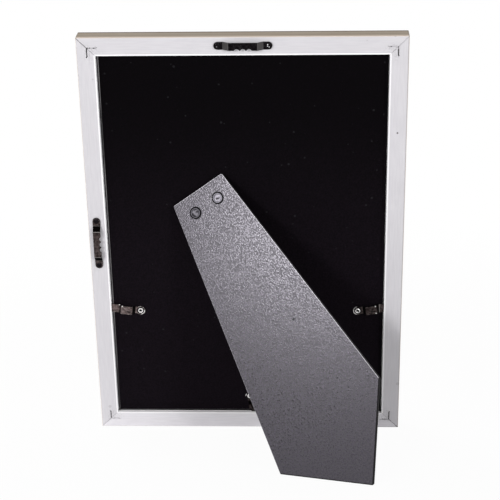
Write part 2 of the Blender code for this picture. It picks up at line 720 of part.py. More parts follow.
def make_board_rivets(places, seat, board, material):
    """Two rivets that hold the hinge to the board, and the stepped holes that they sit in."""
    front = BOARD_FRONT - HINGE_DEPTH
    radius = BOARD_RIVET_RADIUS + FIT_GAP
    head_radius = BOARD_RIVET_HEAD_RADIUS + FIT_GAP
    hole = [
        (0, KNUCKLE_RADIUS),
        (radius, KNUCKLE_RADIUS),
        (radius, front - COUNTERBORE_DEPTH),
        (head_radius, front - COUNTERBORE_DEPTH),
        (head_radius, front + CUT_OVERRUN),
        (0, front + CUT_OVERRUN),
    ]
    holes = []
    for end, (x, z) in zip(("lower", "upper"), places):
        rivet = turned(board_rivet_profile(), ROUND_STEPS, closed=False)
        make_object(f"hinge_board_rivet_{end}", rivet, material, seat, (x, 0, z), smooth=True)
        holes.append(moved(turned(hole, ROUND_STEPS, closed=False), x, z))
    apply_boolean(board, make_cutter("bore_board_hinge", join_shapes(holes), seat))


def shut_place(x, z):
    """Place on the leg, along and up from the hinge, of a point in the frame with the leg shut."""
    right = x - HINGE_CENTRE_X
    up = z - HINGE_CENTRE_Z
    return (right * HINGE_COSINE + up * HINGE_SINE, up * HINGE_COSINE - right * HINGE_SINE)


def leg_outline():
    """Outline of the leg: narrow at its hinge, with one edge to stand on either way up."""
    side_x = OUTER_WIDTH / 2 - LEG_SIDE_INSET
    foot_x = OUTER_WIDTH / 2 - LEG_FOOT_INSET
    foot_z = HINGE_CENTRE_Z - foot_distance() * HINGE_COSINE
    half = LEG_TOP_WIDTH / 2
    corners = [(-half, HINGE_DROP), (half, HINGE_DROP)]
    corners += [shut_place(side_x, LEG_SIDE_TOP), shut_place(side_x, foot_z), shut_place(foot_x, foot_z)]
    return corners


def inset_outline(points, margins):
    """Outline with each edge drawn in by its own margin; the points run clockwise."""
    points = [Vector(point) for point in points]
    result = []
    for index, point in enumerate(points):
        arrive = (point - points[index - 1]).normalized()
        leave = (points[(index + 1) % len(points)] - point).normalized()
        turn = arrive.y * leave.x - arrive.x * leave.y
        corner = point + (leave * margins[index - 1] - arrive * margins[index]) / turn
        result.append(tuple(corner))
    return result


def round_face_edges(shape, height, width):
    """Rounds the edges of the flat face that lies at one height along Y."""
    edges = [edge for edge in shape.edges if all(abs(v.co.y - height) < MERGE_DISTANCE for v in edge.verts)]
    bmesh.ops.bevel(shape, geom=edges, offset=width, segments=BEND_STEPS, affect="EDGES", profile=0.5)


def leg_rivet_places():
    """The two rivets of the leg, along and up from the hinge."""
    half = LEG_RIVET_SPACING / 2
    return [(-half, HINGE_DROP - LEG_RIVET_DROP), (half, HINGE_DROP - LEG_RIVET_DROP)]


def leg_rivet_profile():
    """Section of a tubular rivet with a rolled rim and a dished middle; outwards is -Y."""
    seat = -(LEG_FACE_OFFSET + LEG_CORE) - FIT_GAP
    rim_half = LEG_RIVET_RIM_WIDTH / 2
    rim_centre = LEG_RIVET_HEAD_RADIUS - rim_half
    roll = arc((0, 0), 1, 0, -LEG_RIVET_RIM_TURN, 2 * CORNER_STEPS)
    rolled = [(rim_centre + x * rim_half, seat + y * LEG_RIVET_HEAD_HEIGHT) for x, y in roll]
    lip_radius, lip_top = rolled[-1]
    bowl = arc((0, 0), 1, 0, math.pi / 2, CORNER_STEPS)[1:-1]
    dish = [(lip_radius * x, lip_top + LEG_RIVET_DISH * y) for x, y in bowl]
    leaf_inside = -(KNUCKLE_RADIUS - HINGE_STEEL) + FIT_GAP
    end = leaf_inside + LEG_RIVET_FLANGE_HEIGHT
    outside = [(0, end), (LEG_RIVET_FLANGE, end), (LEG_RIVET_FLANGE, leaf_inside)]
    outside += [(LEG_RIVET_SHANK, leaf_inside), (LEG_RIVET_SHANK, seat)]
    return outside + rolled + dish + [(0, lip_top + LEG_RIVET_DISH)]


def make_leg(pivot, core_material, cover_material, steel):
    """Leg core, its leatherette and its rivets, all on the leg's own pivot."""
    inner = -LEG_FACE_OFFSET
    outer = inner - LEG_CORE
    cover_inner = outer - LEG_COVER_GAP
    cover_outer = cover_inner - LEG_COVER
    corners = leg_outline()
    core_shape = prism(rounded(corners, LEG_CORNER, CORNER_STEPS, closed=True), "Y", inner, outer)
    round_face_edges(core_shape, outer, LEG_EDGE_ROUND)
    core = make_object("easel_leg", core_shape, core_material, pivot)
    long_edge = LEG_COVER_MARGIN
    standing_edge = LEG_STANDING_MARGIN
    margins = (long_edge, long_edge, standing_edge, standing_edge, long_edge)
    cover_line = rounded(inset_outline(corners, margins), LEG_CORNER, CORNER_STEPS, closed=True)
    cover = make_object("leg_cover", prism(cover_line, "Y", cover_inner, cover_outer), cover_material, pivot)
    for target, radius, label in (
        (core, LEG_RIVET_SHANK + FIT_GAP, "core"),
        (cover, COVER_HOLE_RADIUS, "cover"),
    ):
        ends = (cover_outer - CUT_OVERRUN, inner + CUT_OVERRUN)
        holes = [moved(drill(radius, *ends), x, z) for x, z in leg_rivet_places()]
        apply_boolean(target, make_cutter(f"holes_leg_{label}", join_shapes(holes), pivot))
    for label, (x, z) in zip(("lower", "upper"), leg_rivet_places()):
        shape = turned(leg_rivet_profile(), ROUND_STEPS, closed=False)
        make_object(f"leg_rivet_{label}", shape, steel, pivot, (x, 0, z), smooth=True)


def make_hinge(frame, board, steel, rivet_steel):
    """Seat and pivot of the leg, with the two leaves, the pin and the board's rivets."""
    centre = (HINGE_CENTRE_X, HINGE_DEPTH, HINGE_CENTRE_Z)
    seat = make_empty("hinge_seat", frame, centre, (0, -HINGE_ANGLE, 0))
    pivot = make_empty("leg_pivot", frame, centre, (-LEG_OPEN_ANGLE, -HINGE_ANGLE, 0))
    half = LEG_RIVET_SPACING / 2
    rivet_z = -HINGE_BOARD_LEAF + BOARD_RIVET_END_DISTANCE
    board_places = [(-half, rivet_z), (half, rivet_z)]
    board_hole = BOARD_RIVET_RADIUS + FIT_GAP
    make_leaf("hinge_leaf_board", HINGE_BOARD_LEAF, 1, 1, board_places, board_hole, seat, steel)
    leg_hole = LEG_RIVET_SHANK + FIT_GAP
    make_leaf("hinge_leaf_leg", HINGE_LEG_LEAF, -1, 0, leg_rivet_places(), leg_hole, pivot, steel)
    make_pin(seat, steel)
    make_board_rivets(board_places, seat, board, rivet_steel)
    return pivot


def make_rails(frame, material):
    """The four mitred rails, by the side of the frame that each is on."""
    quarter = math.pi / 2
    half = OUTER_WIDTH / 2
    return {
        "bottom": make_rail("rail_bottom", OUTER_WIDTH, (0, 0, 0), 0, frame, material),
        "top": make_rail("rail_top", OUTER_WIDTH, (0, 0, OUTER_HEIGHT), 2 * quarter, frame, material),
        "left": make_rail("rail_left", OUTER_HEIGHT, (-half, 0, MID_HEIGHT), quarter, frame, material),
        "right": make_rail("rail_right", OUTER_HEIGHT, (half, 0, MID_HEIGHT), -quarter, frame, material),
    }


def opening_less(play):
    """Width and height of a sheet with an even play all round it in the rebate."""
    return OPENING_WIDTH - 2 * play, OPENING_HEIGHT - 2 * play


def make_layers(frame, board_material, card_material, paper_material, clear_material):
    """Backing board, filler card, certificate and glazing, from the back."""
    board_place = (BOARD_RECESS, BOARD_THICKNESS, frame, board_material, BOARD_CORNER)
    board = make_panel("backing_board", *opening_less(BOARD_PLAY), *board_place)
    filler_place = (FILLER_BACK, FILLER_THICKNESS, frame, card_material)
    make_panel("filler_card", *opening_less(FILLER_PLAY), *filler_place)
    sheet_place = (SHEET_BACK, SHEET_THICKNESS, frame, paper_material)
    make_panel("certificate_sheet", SHEET_WIDTH, SHEET_HEIGHT, *sheet_place)
    glazing_place = (GLAZING_BACK, GLAZING_THICKNESS, frame, clear_material)
    make_panel("glazing", *opening_less(GLAZING_PLAY), *glazing_place)
    return board


def stand_on_table(frame):
    """Moves the whole frame so that its box stands centred on the origin."""
    bpy.context.view_layer.update()
    graph = bpy.context.evaluated_depsgraph_get()
    points = []
    for item in bpy.data.objects:
        if item.type != "MESH" or item.hide_render:
            continue
        solid = item.evaluated_get(graph)
        points += [item.matrix_world @ vertex.co for vertex in solid.data.vertices]
    low = [min(point[axis] for point in points) for axis in range(3)]
    high = [max(point[axis] for point in points) for axis in range(3)]
    frame.location = (-(low[0] + high[0]) / 2, -(low[1] + high[1]) / 2, -low[2])


def build():
    """Builds every piece and stands the frame on its leg."""
    clear_scene()
    foil = make_material("rail_foil", (0.72, 0.70, 0.74), 0.55)
    nail_steel = make_material("nail_steel", (0.06, 0.06, 0.065), 0.45, 0.9)
    black_board = make_material("black_board", (0.012, 0.010, 0.012), 0.6)
    card = make_material("grey_card", (0.45, 0.44, 0.42), 0.9)
    paper = make_material("cream_paper", (0.88, 0.86, 0.80), 0.8)
    clear = make_material("clear_sheet", (0.9, 0.92, 0.92), 0.05, 0.0, 0.3)
    gunmetal = make_material("gunmetal", (0.10, 0.085, 0.08), 0.4, 0.9)
    plated = make_material("plated_steel", (0.62, 0.62, 0.64), 0.25, 1.0)
    core = make_material("leg_core_black", (0.02, 0.018, 0.02), 0.7)
    leatherette = make_material("grey_leatherette", (0.26, 0.25, 0.28), 0.6)

    frame = make_empty("frame_axes", None, (0, 0, 0), (LEAN, 0, 0))
    rails = make_rails(frame, foil)
    make_vnails(frame, rails, nail_steel)
    board = make_layers(frame, black_board, card, paper, clear)

    rail_middle = RAIL_BACK_WIDTH / 2
    quarter = math.pi / 2
    top_z = OUTER_HEIGHT - rail_middle + HANGER_TOP_OUTWARD
    left_x = rail_middle - HANGER_LEFT_OUTWARD - OUTER_WIDTH / 2
    top_place = (HANGER_TOP_SHIFT, 0, top_z)
    left_place = (left_x, 0, MID_HEIGHT + HANGER_LEFT_SHIFT)
    top_ends = ("left", "right")
    left_ends = ("lower", "upper")
    make_hanger("hanger_top", top_ends, rails["top"], top_place, 0, frame, nail_steel, nail_steel)
    make_hanger("hanger_left", left_ends, rails["left"], left_place, -quarter, frame, gunmetal, nail_steel)

    left_turn = quarter + CLIP_LEFT_TILT
    right_turn = -quarter - CLIP_RIGHT_TILT
    side_sizes = (CLIP_SIDE_BODY, CLIP_SIDE_LENGTH)
    bottom_sizes = (CLIP_BOTTOM_BODY, CLIP_BOTTOM_LENGTH)
    fixings = (frame, board, gunmetal, plated)
    make_clip("left", (CLIP_LEFT_X, CLIP_SIDE_HEIGHT), left_turn, *side_sizes, *fixings)
    make_clip("right", (CLIP_RIGHT_X, CLIP_SIDE_HEIGHT), right_turn, *side_sizes, *fixings)
    make_clip("bottom", (CLIP_BOTTOM_SHIFT, CLIP_BOTTOM_Z), -CLIP_BOTTOM_TILT, *bottom_sizes, *fixings)

    pivot = make_hinge(frame, board, plated, plated)
    make_leg(pivot, core, leatherette, plated)
    stand_on_table(frame)


build()
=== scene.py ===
# %% [markdown]
# # The back of a certificate frame
# This lesson dresses a certificate frame that stands on its easel leg and is seen from behind.
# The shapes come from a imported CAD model, which is loaded first and never changed. What the CAD
# leaves plain, such as rounded edges, turned rivets and every finish, is added here.

import json
import math

import bmesh
import bpy
from mathutils import Matrix, Vector


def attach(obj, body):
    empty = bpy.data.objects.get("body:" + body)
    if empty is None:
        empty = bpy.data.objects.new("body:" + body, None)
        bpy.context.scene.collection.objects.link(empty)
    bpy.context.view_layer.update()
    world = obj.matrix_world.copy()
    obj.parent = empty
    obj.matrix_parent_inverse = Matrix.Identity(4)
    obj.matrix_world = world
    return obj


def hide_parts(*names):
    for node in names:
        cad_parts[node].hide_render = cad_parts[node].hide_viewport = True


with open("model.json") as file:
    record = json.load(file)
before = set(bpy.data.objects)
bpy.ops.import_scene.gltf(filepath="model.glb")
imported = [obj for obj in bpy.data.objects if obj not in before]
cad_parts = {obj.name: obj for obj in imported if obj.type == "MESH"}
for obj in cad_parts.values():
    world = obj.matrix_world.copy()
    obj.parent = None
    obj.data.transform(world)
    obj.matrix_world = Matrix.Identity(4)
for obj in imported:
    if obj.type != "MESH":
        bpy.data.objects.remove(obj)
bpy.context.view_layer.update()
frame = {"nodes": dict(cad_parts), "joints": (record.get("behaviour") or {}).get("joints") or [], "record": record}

# %% [markdown]
# The frame leans back on its leg, and the leg has an angle of its own. Finishes follow the
# piece that they are on, so both need axes. The model's joints already know them: the clips
# turn about the frame's front-to-back axis, and the leg swings about its hinge pin.

# %% Find the axes of the frame and of the leg
joints = {joint["name"]: joint for joint in frame["joints"]}
clip_axis = Vector(joints["clip_left_turn"]["axis"])
LEAN = math.atan2(clip_axis.z, clip_axis.y)
FRAME_ORIGIN = Vector((0, 0.052669, 0))
frame_axes = Matrix.Translation(FRAME_ORIGIN) @ Matrix.Rotation(LEAN, 4, "X")

LEG_FORWARD = Vector((0.275285, 0.940758, -0.197969))
hinge_line = -Vector(joints["leg_swing"]["axis"])
leg_turn = Matrix((hinge_line, LEG_FORWARD, hinge_line.cross(LEG_FORWARD))).transposed()
leg_axes = Matrix.Translation(joints["leg_swing"]["pos_m"]) @ leg_turn.to_4x4()
MM = 0.001
print("frame leans back", round(math.degrees(LEAN), 2), "degrees")

# %% [markdown]
# The camera stands behind the frame, a little above it and about a metre away. Its place and
# lens were worked out from the known corners of an A4 frame, so that the perspective is real.

# %% Place the camera
VIEW_RIGHT = Vector((0.99917, 0.03672, -0.01742))
VIEW_DOWN = Vector((-0.00015, -0.42529, -0.90506))
VIEW_AHEAD = Vector((-0.04065, 0.90431, -0.42493))
FRAME_FROM_CAMERA = Vector((-0.30, 143.50, 1180.21)) * MM
SENSOR_WIDTH = 36
LENS = 104.60
NEAREST, FARTHEST = 0.02, 100

eye = -(VIEW_RIGHT * FRAME_FROM_CAMERA.x + VIEW_DOWN * FRAME_FROM_CAMERA.y
        + VIEW_AHEAD * FRAME_FROM_CAMERA.z)
view_turn = Matrix((VIEW_RIGHT, -VIEW_DOWN, -VIEW_AHEAD)).transposed().to_4x4()
camera = bpy.data.objects.new("camera", bpy.data.cameras.new("camera"))
bpy.context.scene.collection.objects.link(camera)
camera.matrix_world = frame_axes @ Matrix.Translation(eye) @ view_turn
camera.data.sensor_width = SENSOR_WIDTH
camera.data.lens = LENS
camera.data.clip_start = NEAREST
camera.data.clip_end = FARTHEST
bpy.context.scene.camera = camera
print("camera at", [round(value, 3) for value in camera.matrix_world.translation])

# %% [markdown]
# Shader trees are easier to read when one line adds one node. These helpers add a node, link
# its inputs and hand back an output, so that a finish reads like a recipe.

# %% Helpers for nodes, sums and masks


def feed(tree, socket, value):
    """Links another node's output to an input, or sets the input to a value."""
    if isinstance(value, bpy.types.NodeSocket):
        tree.links.new(value, socket)
    else:
        socket.default_value = value


def add_node(tree, kind, inputs=None, **settings):
    """Adds a node. An input is given a value, or the output of another node to link to."""
    made = tree.nodes.new(kind)
    for name, value in settings.items():
        setattr(made, name, value)
    for name, value in (inputs or {}).items():
        feed(tree, made.inputs[name], value)
    return made


def calc(tree, operation, first, second=0.0):
    """One sum on numbers."""
    return add_node(tree, "ShaderNodeMath", {0: first, 1: second}, operation=operation).outputs[0]


def times(tree, first, second):
    """One number times the other. It also keeps what two masks share."""
    return calc(tree, "MULTIPLY", first, second)


def plus(tree, first, second):
    """One number plus the other."""
    return calc(tree, "ADD", first, second)


def minus(tree, first, second):
    """One number less the other."""
    return calc(tree, "SUBTRACT", first, second)


def larger(tree, first, second):
    """The larger of two numbers. It also joins two masks."""
    return calc(tree, "MAXIMUM", first, second)


def smaller(tree, first, second):
    """The smaller of two numbers."""
    return calc(tree, "MINIMUM", first, second)


def off_zero(tree, value):
    """A number without its sign."""
    return calc(tree, "ABSOLUTE", value)


def apart(tree, first, second):
    """How far apart two numbers are."""
    return off_zero(tree, minus(tree, first, second))


def ramp(tree, value, low, high, start=0.0, end=1.0):
    """A smooth step from start to end as value goes from low to high. Low may be the larger one."""
    inputs = {"Value": value, "From Min": low, "From Max": high, "To Min": start, "To Max": end}
    return add_node(tree, "ShaderNodeMapRange", inputs, interpolation_type="SMOOTHSTEP").outputs[0]


def between(tree, value, low, high, soft):
    """1 where a value lies between low and high, with soft edges."""
    rises = ramp(tree, value, low - soft / 2, low + soft / 2)
    return times(tree, rises, ramp(tree, value, high + soft / 2, high - soft / 2))


print("helpers for sums ready")

# %% [markdown]
# The next helpers mix colours, make clouds and patches, and say where a point of the surface
# lies. The last three give a surface its bumps and start and end a finish.

# %% Helpers for colours, patterns and places
FIRST_COLOUR, SECOND_COLOUR = 6, 7


def opaque(value):
    """Gives a colour of three numbers its fourth, and leaves anything else alone."""
    return [*value, 1] if isinstance(value, tuple) else value


def mix_colours(tree, share, first, second, how="MIX"):
    """Mixes two colours, by a share from 0 to 1. A Mix node's colours are its inputs 6 and 7."""
    inputs = {0: share, FIRST_COLOUR: opaque(first), SECOND_COLOUR: opaque(second)}
    return add_node(tree, "ShaderNodeMix", inputs, data_type="RGBA", blend_type=how).outputs[2]


def tinted(tree, colour, shade):
    """A colour times a shade."""
    return mix_colours(tree, 1.0, colour, shade, "MULTIPLY")


def noise(tree, vector, scale, detail=2.0, roughness=0.5, distortion=0.0):
    """Cloudy noise from about 0.3 to 0.7, centred on 0.5."""
    inputs = {"Vector": vector, "Scale": scale, "Detail": detail, "Roughness": roughness}
    inputs["Distortion"] = distortion
    return add_node(tree, "ShaderNodeTexNoise", inputs).outputs[0]


def patches(tree, vector, scale, detail, low, high, start=0.0, end=1.0):
    """Noise sharpened to patches that go from start to end."""
    return ramp(tree, noise(tree, vector, scale, detail), low, high, start, end)


def on_vectors(tree, operation, first, second, output=0):
    """One sum on vectors."""
    inputs = {0: first, 1: second}
    return add_node(tree, "ShaderNodeVectorMath", inputs, operation=operation).outputs[output]


def stretched(tree, vector, scale):
    """The same place with its axes stretched, for grain that runs one way."""
    return on_vectors(tree, "MULTIPLY", vector, scale)


def place_on(tree, axes):
    """Where a point of the surface lies in the frame's or the leg's own axes, in metres."""
    inputs = {"Vector": add_node(tree, "ShaderNodeTexCoord").outputs["Object"]}
    inputs["Location"], inputs["Rotation"] = axes.translation, axes.to_euler()
    return add_node(tree, "ShaderNodeMapping", inputs, vector_type="TEXTURE").outputs[0]


def split(tree, point):
    """A place's three numbers: across, forward and up."""
    return add_node(tree, "ShaderNodeSeparateXYZ", {0: point}).outputs


def distance_to(tree, point, spot):
    """Distance from a point to a spot given in millimetres."""
    return on_vectors(tree, "DISTANCE", point, Vector(spot) * MM, "Value")


def off_axes(tree, point, spots):
    """Distance to the nearest of some front-to-back lines, each given as (across, up) in millimetres."""
    flat = stretched(tree, point, (1, 0, 1))
    nearest = None
    for across, up in spots:
        away = distance_to(tree, flat, (across, 0, up))
        nearest = away if nearest is None else smaller(tree, nearest, away)
    return nearest


def bumped(tree, height, distance, strength, onto=None):
    """Turns a height from 0 to 1 into a bump that is distance metres deep."""
    inputs = {"Height": height, "Distance": distance, "Strength": strength}
    if onto is not None:
        inputs["Normal"] = onto
    return add_node(tree, "ShaderNodeBump", inputs).outputs[0]


def new_finish(name):
    """A material with its Principled shader, ready to be linked."""
    material = bpy.data.materials.new(name)
    material.use_nodes = True
    tree = material.node_tree
    tree.nodes.clear()
    shader = add_node(tree, "ShaderNodeBsdfPrincipled")
    add_node(tree, "ShaderNodeOutputMaterial", {"Surface": shader.outputs[0]})
    return material, tree, shader


def finish_with(tree, shader, **inputs):
    """Sets or links the shader's inputs. Names are written with _ for a space."""
    for name, value in inputs.items():
        feed(tree, shader.inputs[name.replace("_", " ")], opaque(value))


print("helpers for finishes ready")

# %% [markdown]
# Real surfaces share a few effects: paint and plating thin out along edges, colours drift a
# little, dust settles in specks, and handling leaves fine scratches. Each effect is one node
# group with named inputs, so that every material can use it with values of its own.

# %% Node groups shared by the finishes


def new_group(title, output, **numbers):
    """A node group that takes a Vector and some numbers and puts out one number, still empty."""
    group = bpy.data.node_groups.new(title, "ShaderNodeTree")
    group.interface.new_socket("Vector", in_out="INPUT", socket_type="NodeSocketVector")
    for name, value in numbers.items():
        socket = group.interface.new_socket(name, in_out="INPUT", socket_type="NodeSocketFloat")
        socket.default_value = value
    group.interface.new_socket(output, in_out="OUTPUT", socket_type="NodeSocketFloat")
    given = group.nodes.new("NodeGroupInput").outputs
    return group, given, group.nodes.new("NodeGroupOutput").inputs[output]


def use_group(tree, group, **inputs):
    """Places a group in a material and returns its output."""
    made = add_node(tree, "ShaderNodeGroup", node_tree=group)
    for name, value in inputs.items():
        feed(tree, made.inputs[name], value)
    return made.outputs[0]


edge_wear, given, result = new_group("edge wear", "Wear", Reach=0.0004, Raggedness=900.0)
rounded = add_node(edge_wear, "ShaderNodeBevel", {"Radius": given["Reach"]}, samples=6).outputs[0]
true_normal = add_node(edge_wear, "ShaderNodeNewGeometry").outputs["Normal"]
same_way = on_vectors(edge_wear, "DOT_PRODUCT", rounded, true_normal, "Value")
turned_away = ramp(edge_wear, same_way, 0.995, 0.86)
ragged = patches(edge_wear, given["Vector"], given["Raggedness"], 3.0, 0.38, 0.62)
edge_wear.links.new(times(edge_wear, turned_away, ragged), result)

drift, given, result = new_group("colour drift", "Shade", Scale=40.0, Amount=0.1)
cloud = noise(drift, given["Vector"], given["Scale"], 4.0, 0.6)
swing = times(drift, minus(drift, cloud, 0.5), times(drift, given["Amount"], 4.0))
drift.links.new(plus(drift, swing, 1.0), result)

dust, given, result = new_group("dust specks", "Mask", Spacing=300.0, Amount=0.2)
cells = add_node(dust, "ShaderNodeTexVoronoi", {"Vector": given["Vector"], "Scale": given["Spacing"]})
own_draw = add_node(dust, "ShaderNodeSeparateColor", {0: cells.outputs["Color"]}).outputs
speck_size = times(dust, own_draw[0], 0.22)
speck = calc(dust, "LESS_THAN", cells.outputs["Distance"], speck_size)
chosen = calc(dust, "LESS_THAN", own_draw[1], given["Amount"])
dust.links.new(times(dust, speck, chosen), result)

# Painted shade: this group darkens corners that ambient occlusion finds, and stands for grime gathered there as
# well.
grime, given, result = new_group("grime in corners", "Mask", Reach=0.0015, Amount=1.0)
open_sky = add_node(grime, "ShaderNodeAmbientOcclusion", {"Distance": given["Reach"]}, samples=8)
gathered = ramp(grime, open_sky.outputs["AO"], 0.80, 0.35)
uneven = patches(grime, given["Vector"], 700.0, 3.0, 0.30, 0.55, 0.5, 1.0)
grime.links.new(times(grime, times(grime, gathered, uneven), given["Amount"]), result)

scratches, given, result = new_group("fine scratches", "Mask", Scale=60.0, Amount=0.5)
warped = noise(scratches, given["Vector"], given["Scale"], 6.0, 0.7, 1.4)
thin = ramp(scratches, apart(scratches, warped, 0.5), 0.012, 0.0)
scratches.links.new(times(scratches, thin, given["Amount"]), result)
print("node groups:", [group.name for group in bpy.data.node_groups])

# %% [markdown]
# The moulding is a wood fibre stick wrapped in printed foil. The foil covers the front and the
# outer sides in a warm champagne and stops at the back edge, where a pale line of glue and
# primer shows. The back itself is a flat grey-white. One material serves all four rails,
# because a point's place in the frame's own axes says which part of the stick it is on. Two
# sizes in a row say where a band or a mark sets in and where it is full. Three say where it
# starts, where it ends and how soft its edges are.

# %% Finish of the moulding
HALF_WIDTH = 0.1201
OUTER_HEIGHT = 0.3272
MID_HEIGHT = OUTER_HEIGHT / 2
RAIL_WIDTH = 0.0136
NAIL_APEX = 0.0077

OUTER_SKIN = (0.0004, 0.0002)
FRONT_FOIL = (0.0103, 0.0106)
GLUE_BAND = (0.0017, 0.0008)
SANDY_BAND = (0.0042, 0.0034)
COVE_SHADE = (0.0042, 0.0066, 0.0014)
BEAD_SHADE = (0.0122, 0.0150, 0.0010)
BEAD_REACH = (0.0022, 0.0014)
INNER_HIGHLIGHT_BAND = (RAIL_WIDTH - 0.0013, RAIL_WIDTH - 0.0008)
INNER_WALL = (RAIL_WIDTH - 0.0003, RAIL_WIDTH - 0.0001)
LOW_RAIL = (0.10, 0.09)
DARK_WALL_DEPTH = (0.0020, 0.0050, 0.0006)
SIDE_EDGE, RIGHT_RAIL = (0.0010, 0.0006), (0.11, 0.12)
UNDER_EDGE, RIGHT_CORNER = (0.0008, 0.0004), (0.085, 0.095)
SPECK_PLACE, SPECK = (113.2, 0, 253.5), (0.0008, 0.0004)

CHAMPAGNE, CHAMPAGNE_DEEP = (0.400, 0.332, 0.256), (0.350, 0.291, 0.224)
CHAMPAGNE_SHADED = (0.110, 0.082, 0.058)
SANDY, GLUE = (0.480, 0.388, 0.304), (0.840, 0.740, 0.660)
PALE, PALE_DEEP, INNER_HIGHLIGHT = (0.712, 0.694, 0.724), (0.676, 0.658, 0.690), (0.960, 0.950, 0.965)

moulding, tree, shader = new_finish("rail_foil")
place = place_on(tree, frame_axes)
axis = split(tree, place)
from_side = minus(tree, HALF_WIDTH, off_zero(tree, axis[0]))
from_end = smaller(tree, axis[2], minus(tree, OUTER_HEIGHT, axis[2]))
from_outside = smaller(tree, from_side, from_end)
upright = calc(tree, "LESS_THAN", from_side, from_end)


def along_rail(slow, fast):
    """The place, stretched so that grain runs along whichever rail it is on."""
    level_way = stretched(tree, place, (slow, fast, fast))
    return mix_colours(tree, upright, level_way, stretched(tree, place, (fast, fast, slow)))


streak = noise(tree, along_rail(60, 900), 1.0, 3.0)
pale = mix_colours(tree, ramp(tree, streak, 0.35, 0.65), PALE_DEEP, PALE)
pale = tinted(tree, pale, use_group(tree, drift, Vector=place, Scale=22.0, Amount=0.03))
# Painted light: the bottom rail is painted lighter than the others, standing in for light from below.
low_rail = times(tree, minus(tree, 1.0, upright), ramp(tree, axis[2], *LOW_RAIL))
pale = tinted(tree, pale, plus(tree, 0.945, times(tree, low_rail, 0.165)))
# Painted highlight: a near-white line along the inner edge of each rail's back, where the edge would catch the
# light.
pale = mix_colours(tree, ramp(tree, from_outside, *INNER_HIGHLIGHT_BAND), pale, INNER_HIGHLIGHT)

band = noise(tree, along_rail(9, 430), 1.0, 2.0)
warm = mix_colours(tree, ramp(tree, band, 0.38, 0.62), CHAMPAGNE_DEEP, CHAMPAGNE)
# Painted shade: a dark band under the front bead of the outer sides, where the round turns from the light, and a
# fainter one in the cove.
bead = times(tree, between(tree, axis[1], *BEAD_SHADE), ramp(tree, from_outside, *BEAD_REACH))
cove = times(tree, between(tree, axis[1], *COVE_SHADE), 0.22)
warm = mix_colours(tree, larger(tree, bead, cove), warm, CHAMPAGNE_SHADED)
warm = mix_colours(tree, ramp(tree, axis[1], *SANDY_BAND), warm, SANDY)
warm = mix_colours(tree, times(tree, ramp(tree, axis[1], *GLUE_BAND), 0.9), warm, GLUE)
foil = larger(tree, ramp(tree, from_outside, *OUTER_SKIN), ramp(tree, axis[1], *FRONT_FOIL))
colour = mix_colours(tree, foil, pale, warm)

# Painted shade: a dark line down the outer edge of the right rail.
painted_side_shade = ramp(tree, from_side, *SIDE_EDGE)
painted_side_shade = times(tree, painted_side_shade, ramp(tree, axis[0], *RIGHT_RAIL, 0.0, 0.35))
colour = mix_colours(tree, painted_side_shade, colour, (0.180, 0.160, 0.150))
# Painted shadow: a dark line along the under edge of the bottom rail, towards its right corner, where it meets the
# floor.
painted_under_shadow = ramp(tree, axis[2], *UNDER_EDGE)
painted_under_shadow = times(tree, painted_under_shadow, ramp(tree, axis[0], *RIGHT_CORNER, 0.0, 0.7))
colour = mix_colours(tree, painted_under_shadow, colour, (0.120, 0.108, 0.104))
# The part of the bottom rail's inner wall next to the board is coloured near black.
dark_wall_band = times(tree, low_rail, ramp(tree, from_outside, *INNER_WALL))
dark_wall_band = times(tree, dark_wall_band, between(tree, axis[1], *DARK_WALL_DEPTH))
colour = mix_colours(tree, dark_wall_band, colour, (0.012, 0.010, 0.012))
print("moulding foil coloured")

# %% [markdown]
# Each mitre is a thin dark seam, open in two of the corners and filled in the others. The
# V-nail beside it bruised the foil when it was driven in. A few specks of dust come last.

# %% Mitres and marks on the moulding
SEAM_WIDTH = (0.0002, 0.0006)
SEAM_END = (NAIL_APEX + 0.0008, NAIL_APEX - 0.0012)
NAIL_MIDDLE = NAIL_APEX + 0.001
OPPOSITE_CORNERS, UPPER_CORNERS = (-0.001, 0.001), (0.05, 0.25)
BRUISE_ALONG, BRUISE_ACROSS = (0.0055, 0.0), (0.0130, 0.0020)

off_seam = apart(tree, from_side, from_end)
seam_width = patches(tree, place, 260.0, 2.0, 0.35, 0.65, *SEAM_WIDTH)
diagonal = times(tree, axis[0], minus(tree, axis[2], MID_HEIGHT))
open_corner = ramp(tree, diagonal, *reversed(OPPOSITE_CORNERS), 0.12, 1.0)
open_corner = times(tree, open_corner, ramp(tree, axis[2], *UPPER_CORNERS, 1.0, 0.6))
seam_depth = ramp(tree, from_outside, *SEAM_END, 0.12, 0.85)
seam = calc(tree, "LESS_THAN", off_seam, seam_width)
seam = times(tree, seam, times(tree, seam_depth, open_corner))
colour = mix_colours(tree, seam, colour, (0.090, 0.082, 0.085))
near_nail = ramp(tree, apart(tree, from_outside, NAIL_MIDDLE), *BRUISE_ALONG)
near_nail = times(tree, near_nail, ramp(tree, off_seam, *BRUISE_ACROSS))
bruise = times(tree, near_nail, patches(tree, place, 800.0, 3.0, 0.50, 0.62))
colour = mix_colours(tree, times(tree, bruise, 0.40), colour, (0.36, 0.35, 0.365))
marks = use_group(tree, dust, Vector=place, Spacing=160.0, Amount=0.02)
colour = mix_colours(tree, times(tree, marks, 0.2), colour, (0.16, 0.14, 0.14))
speck = ramp(tree, distance_to(tree, place, SPECK_PLACE), *SPECK)
colour = mix_colours(tree, speck, colour, (0.04, 0.03, 0.03))

fine = noise(tree, place, 2600.0, 2.0)
skin = bumped(tree, plus(tree, fine, times(tree, streak, 0.8)), 0.00004, 0.5)
skin = bumped(tree, minus(tree, 1.0, larger(tree, bruise, speck)), 0.0003, 0.5, skin)
satin = ramp(tree, streak, 0.3, 0.7, 0.42, 0.55)
finish_with(tree, shader, Base_Color=colour, Roughness=satin, Normal=skin, Specular_IOR_Level=0.12)
print("moulding foil made")

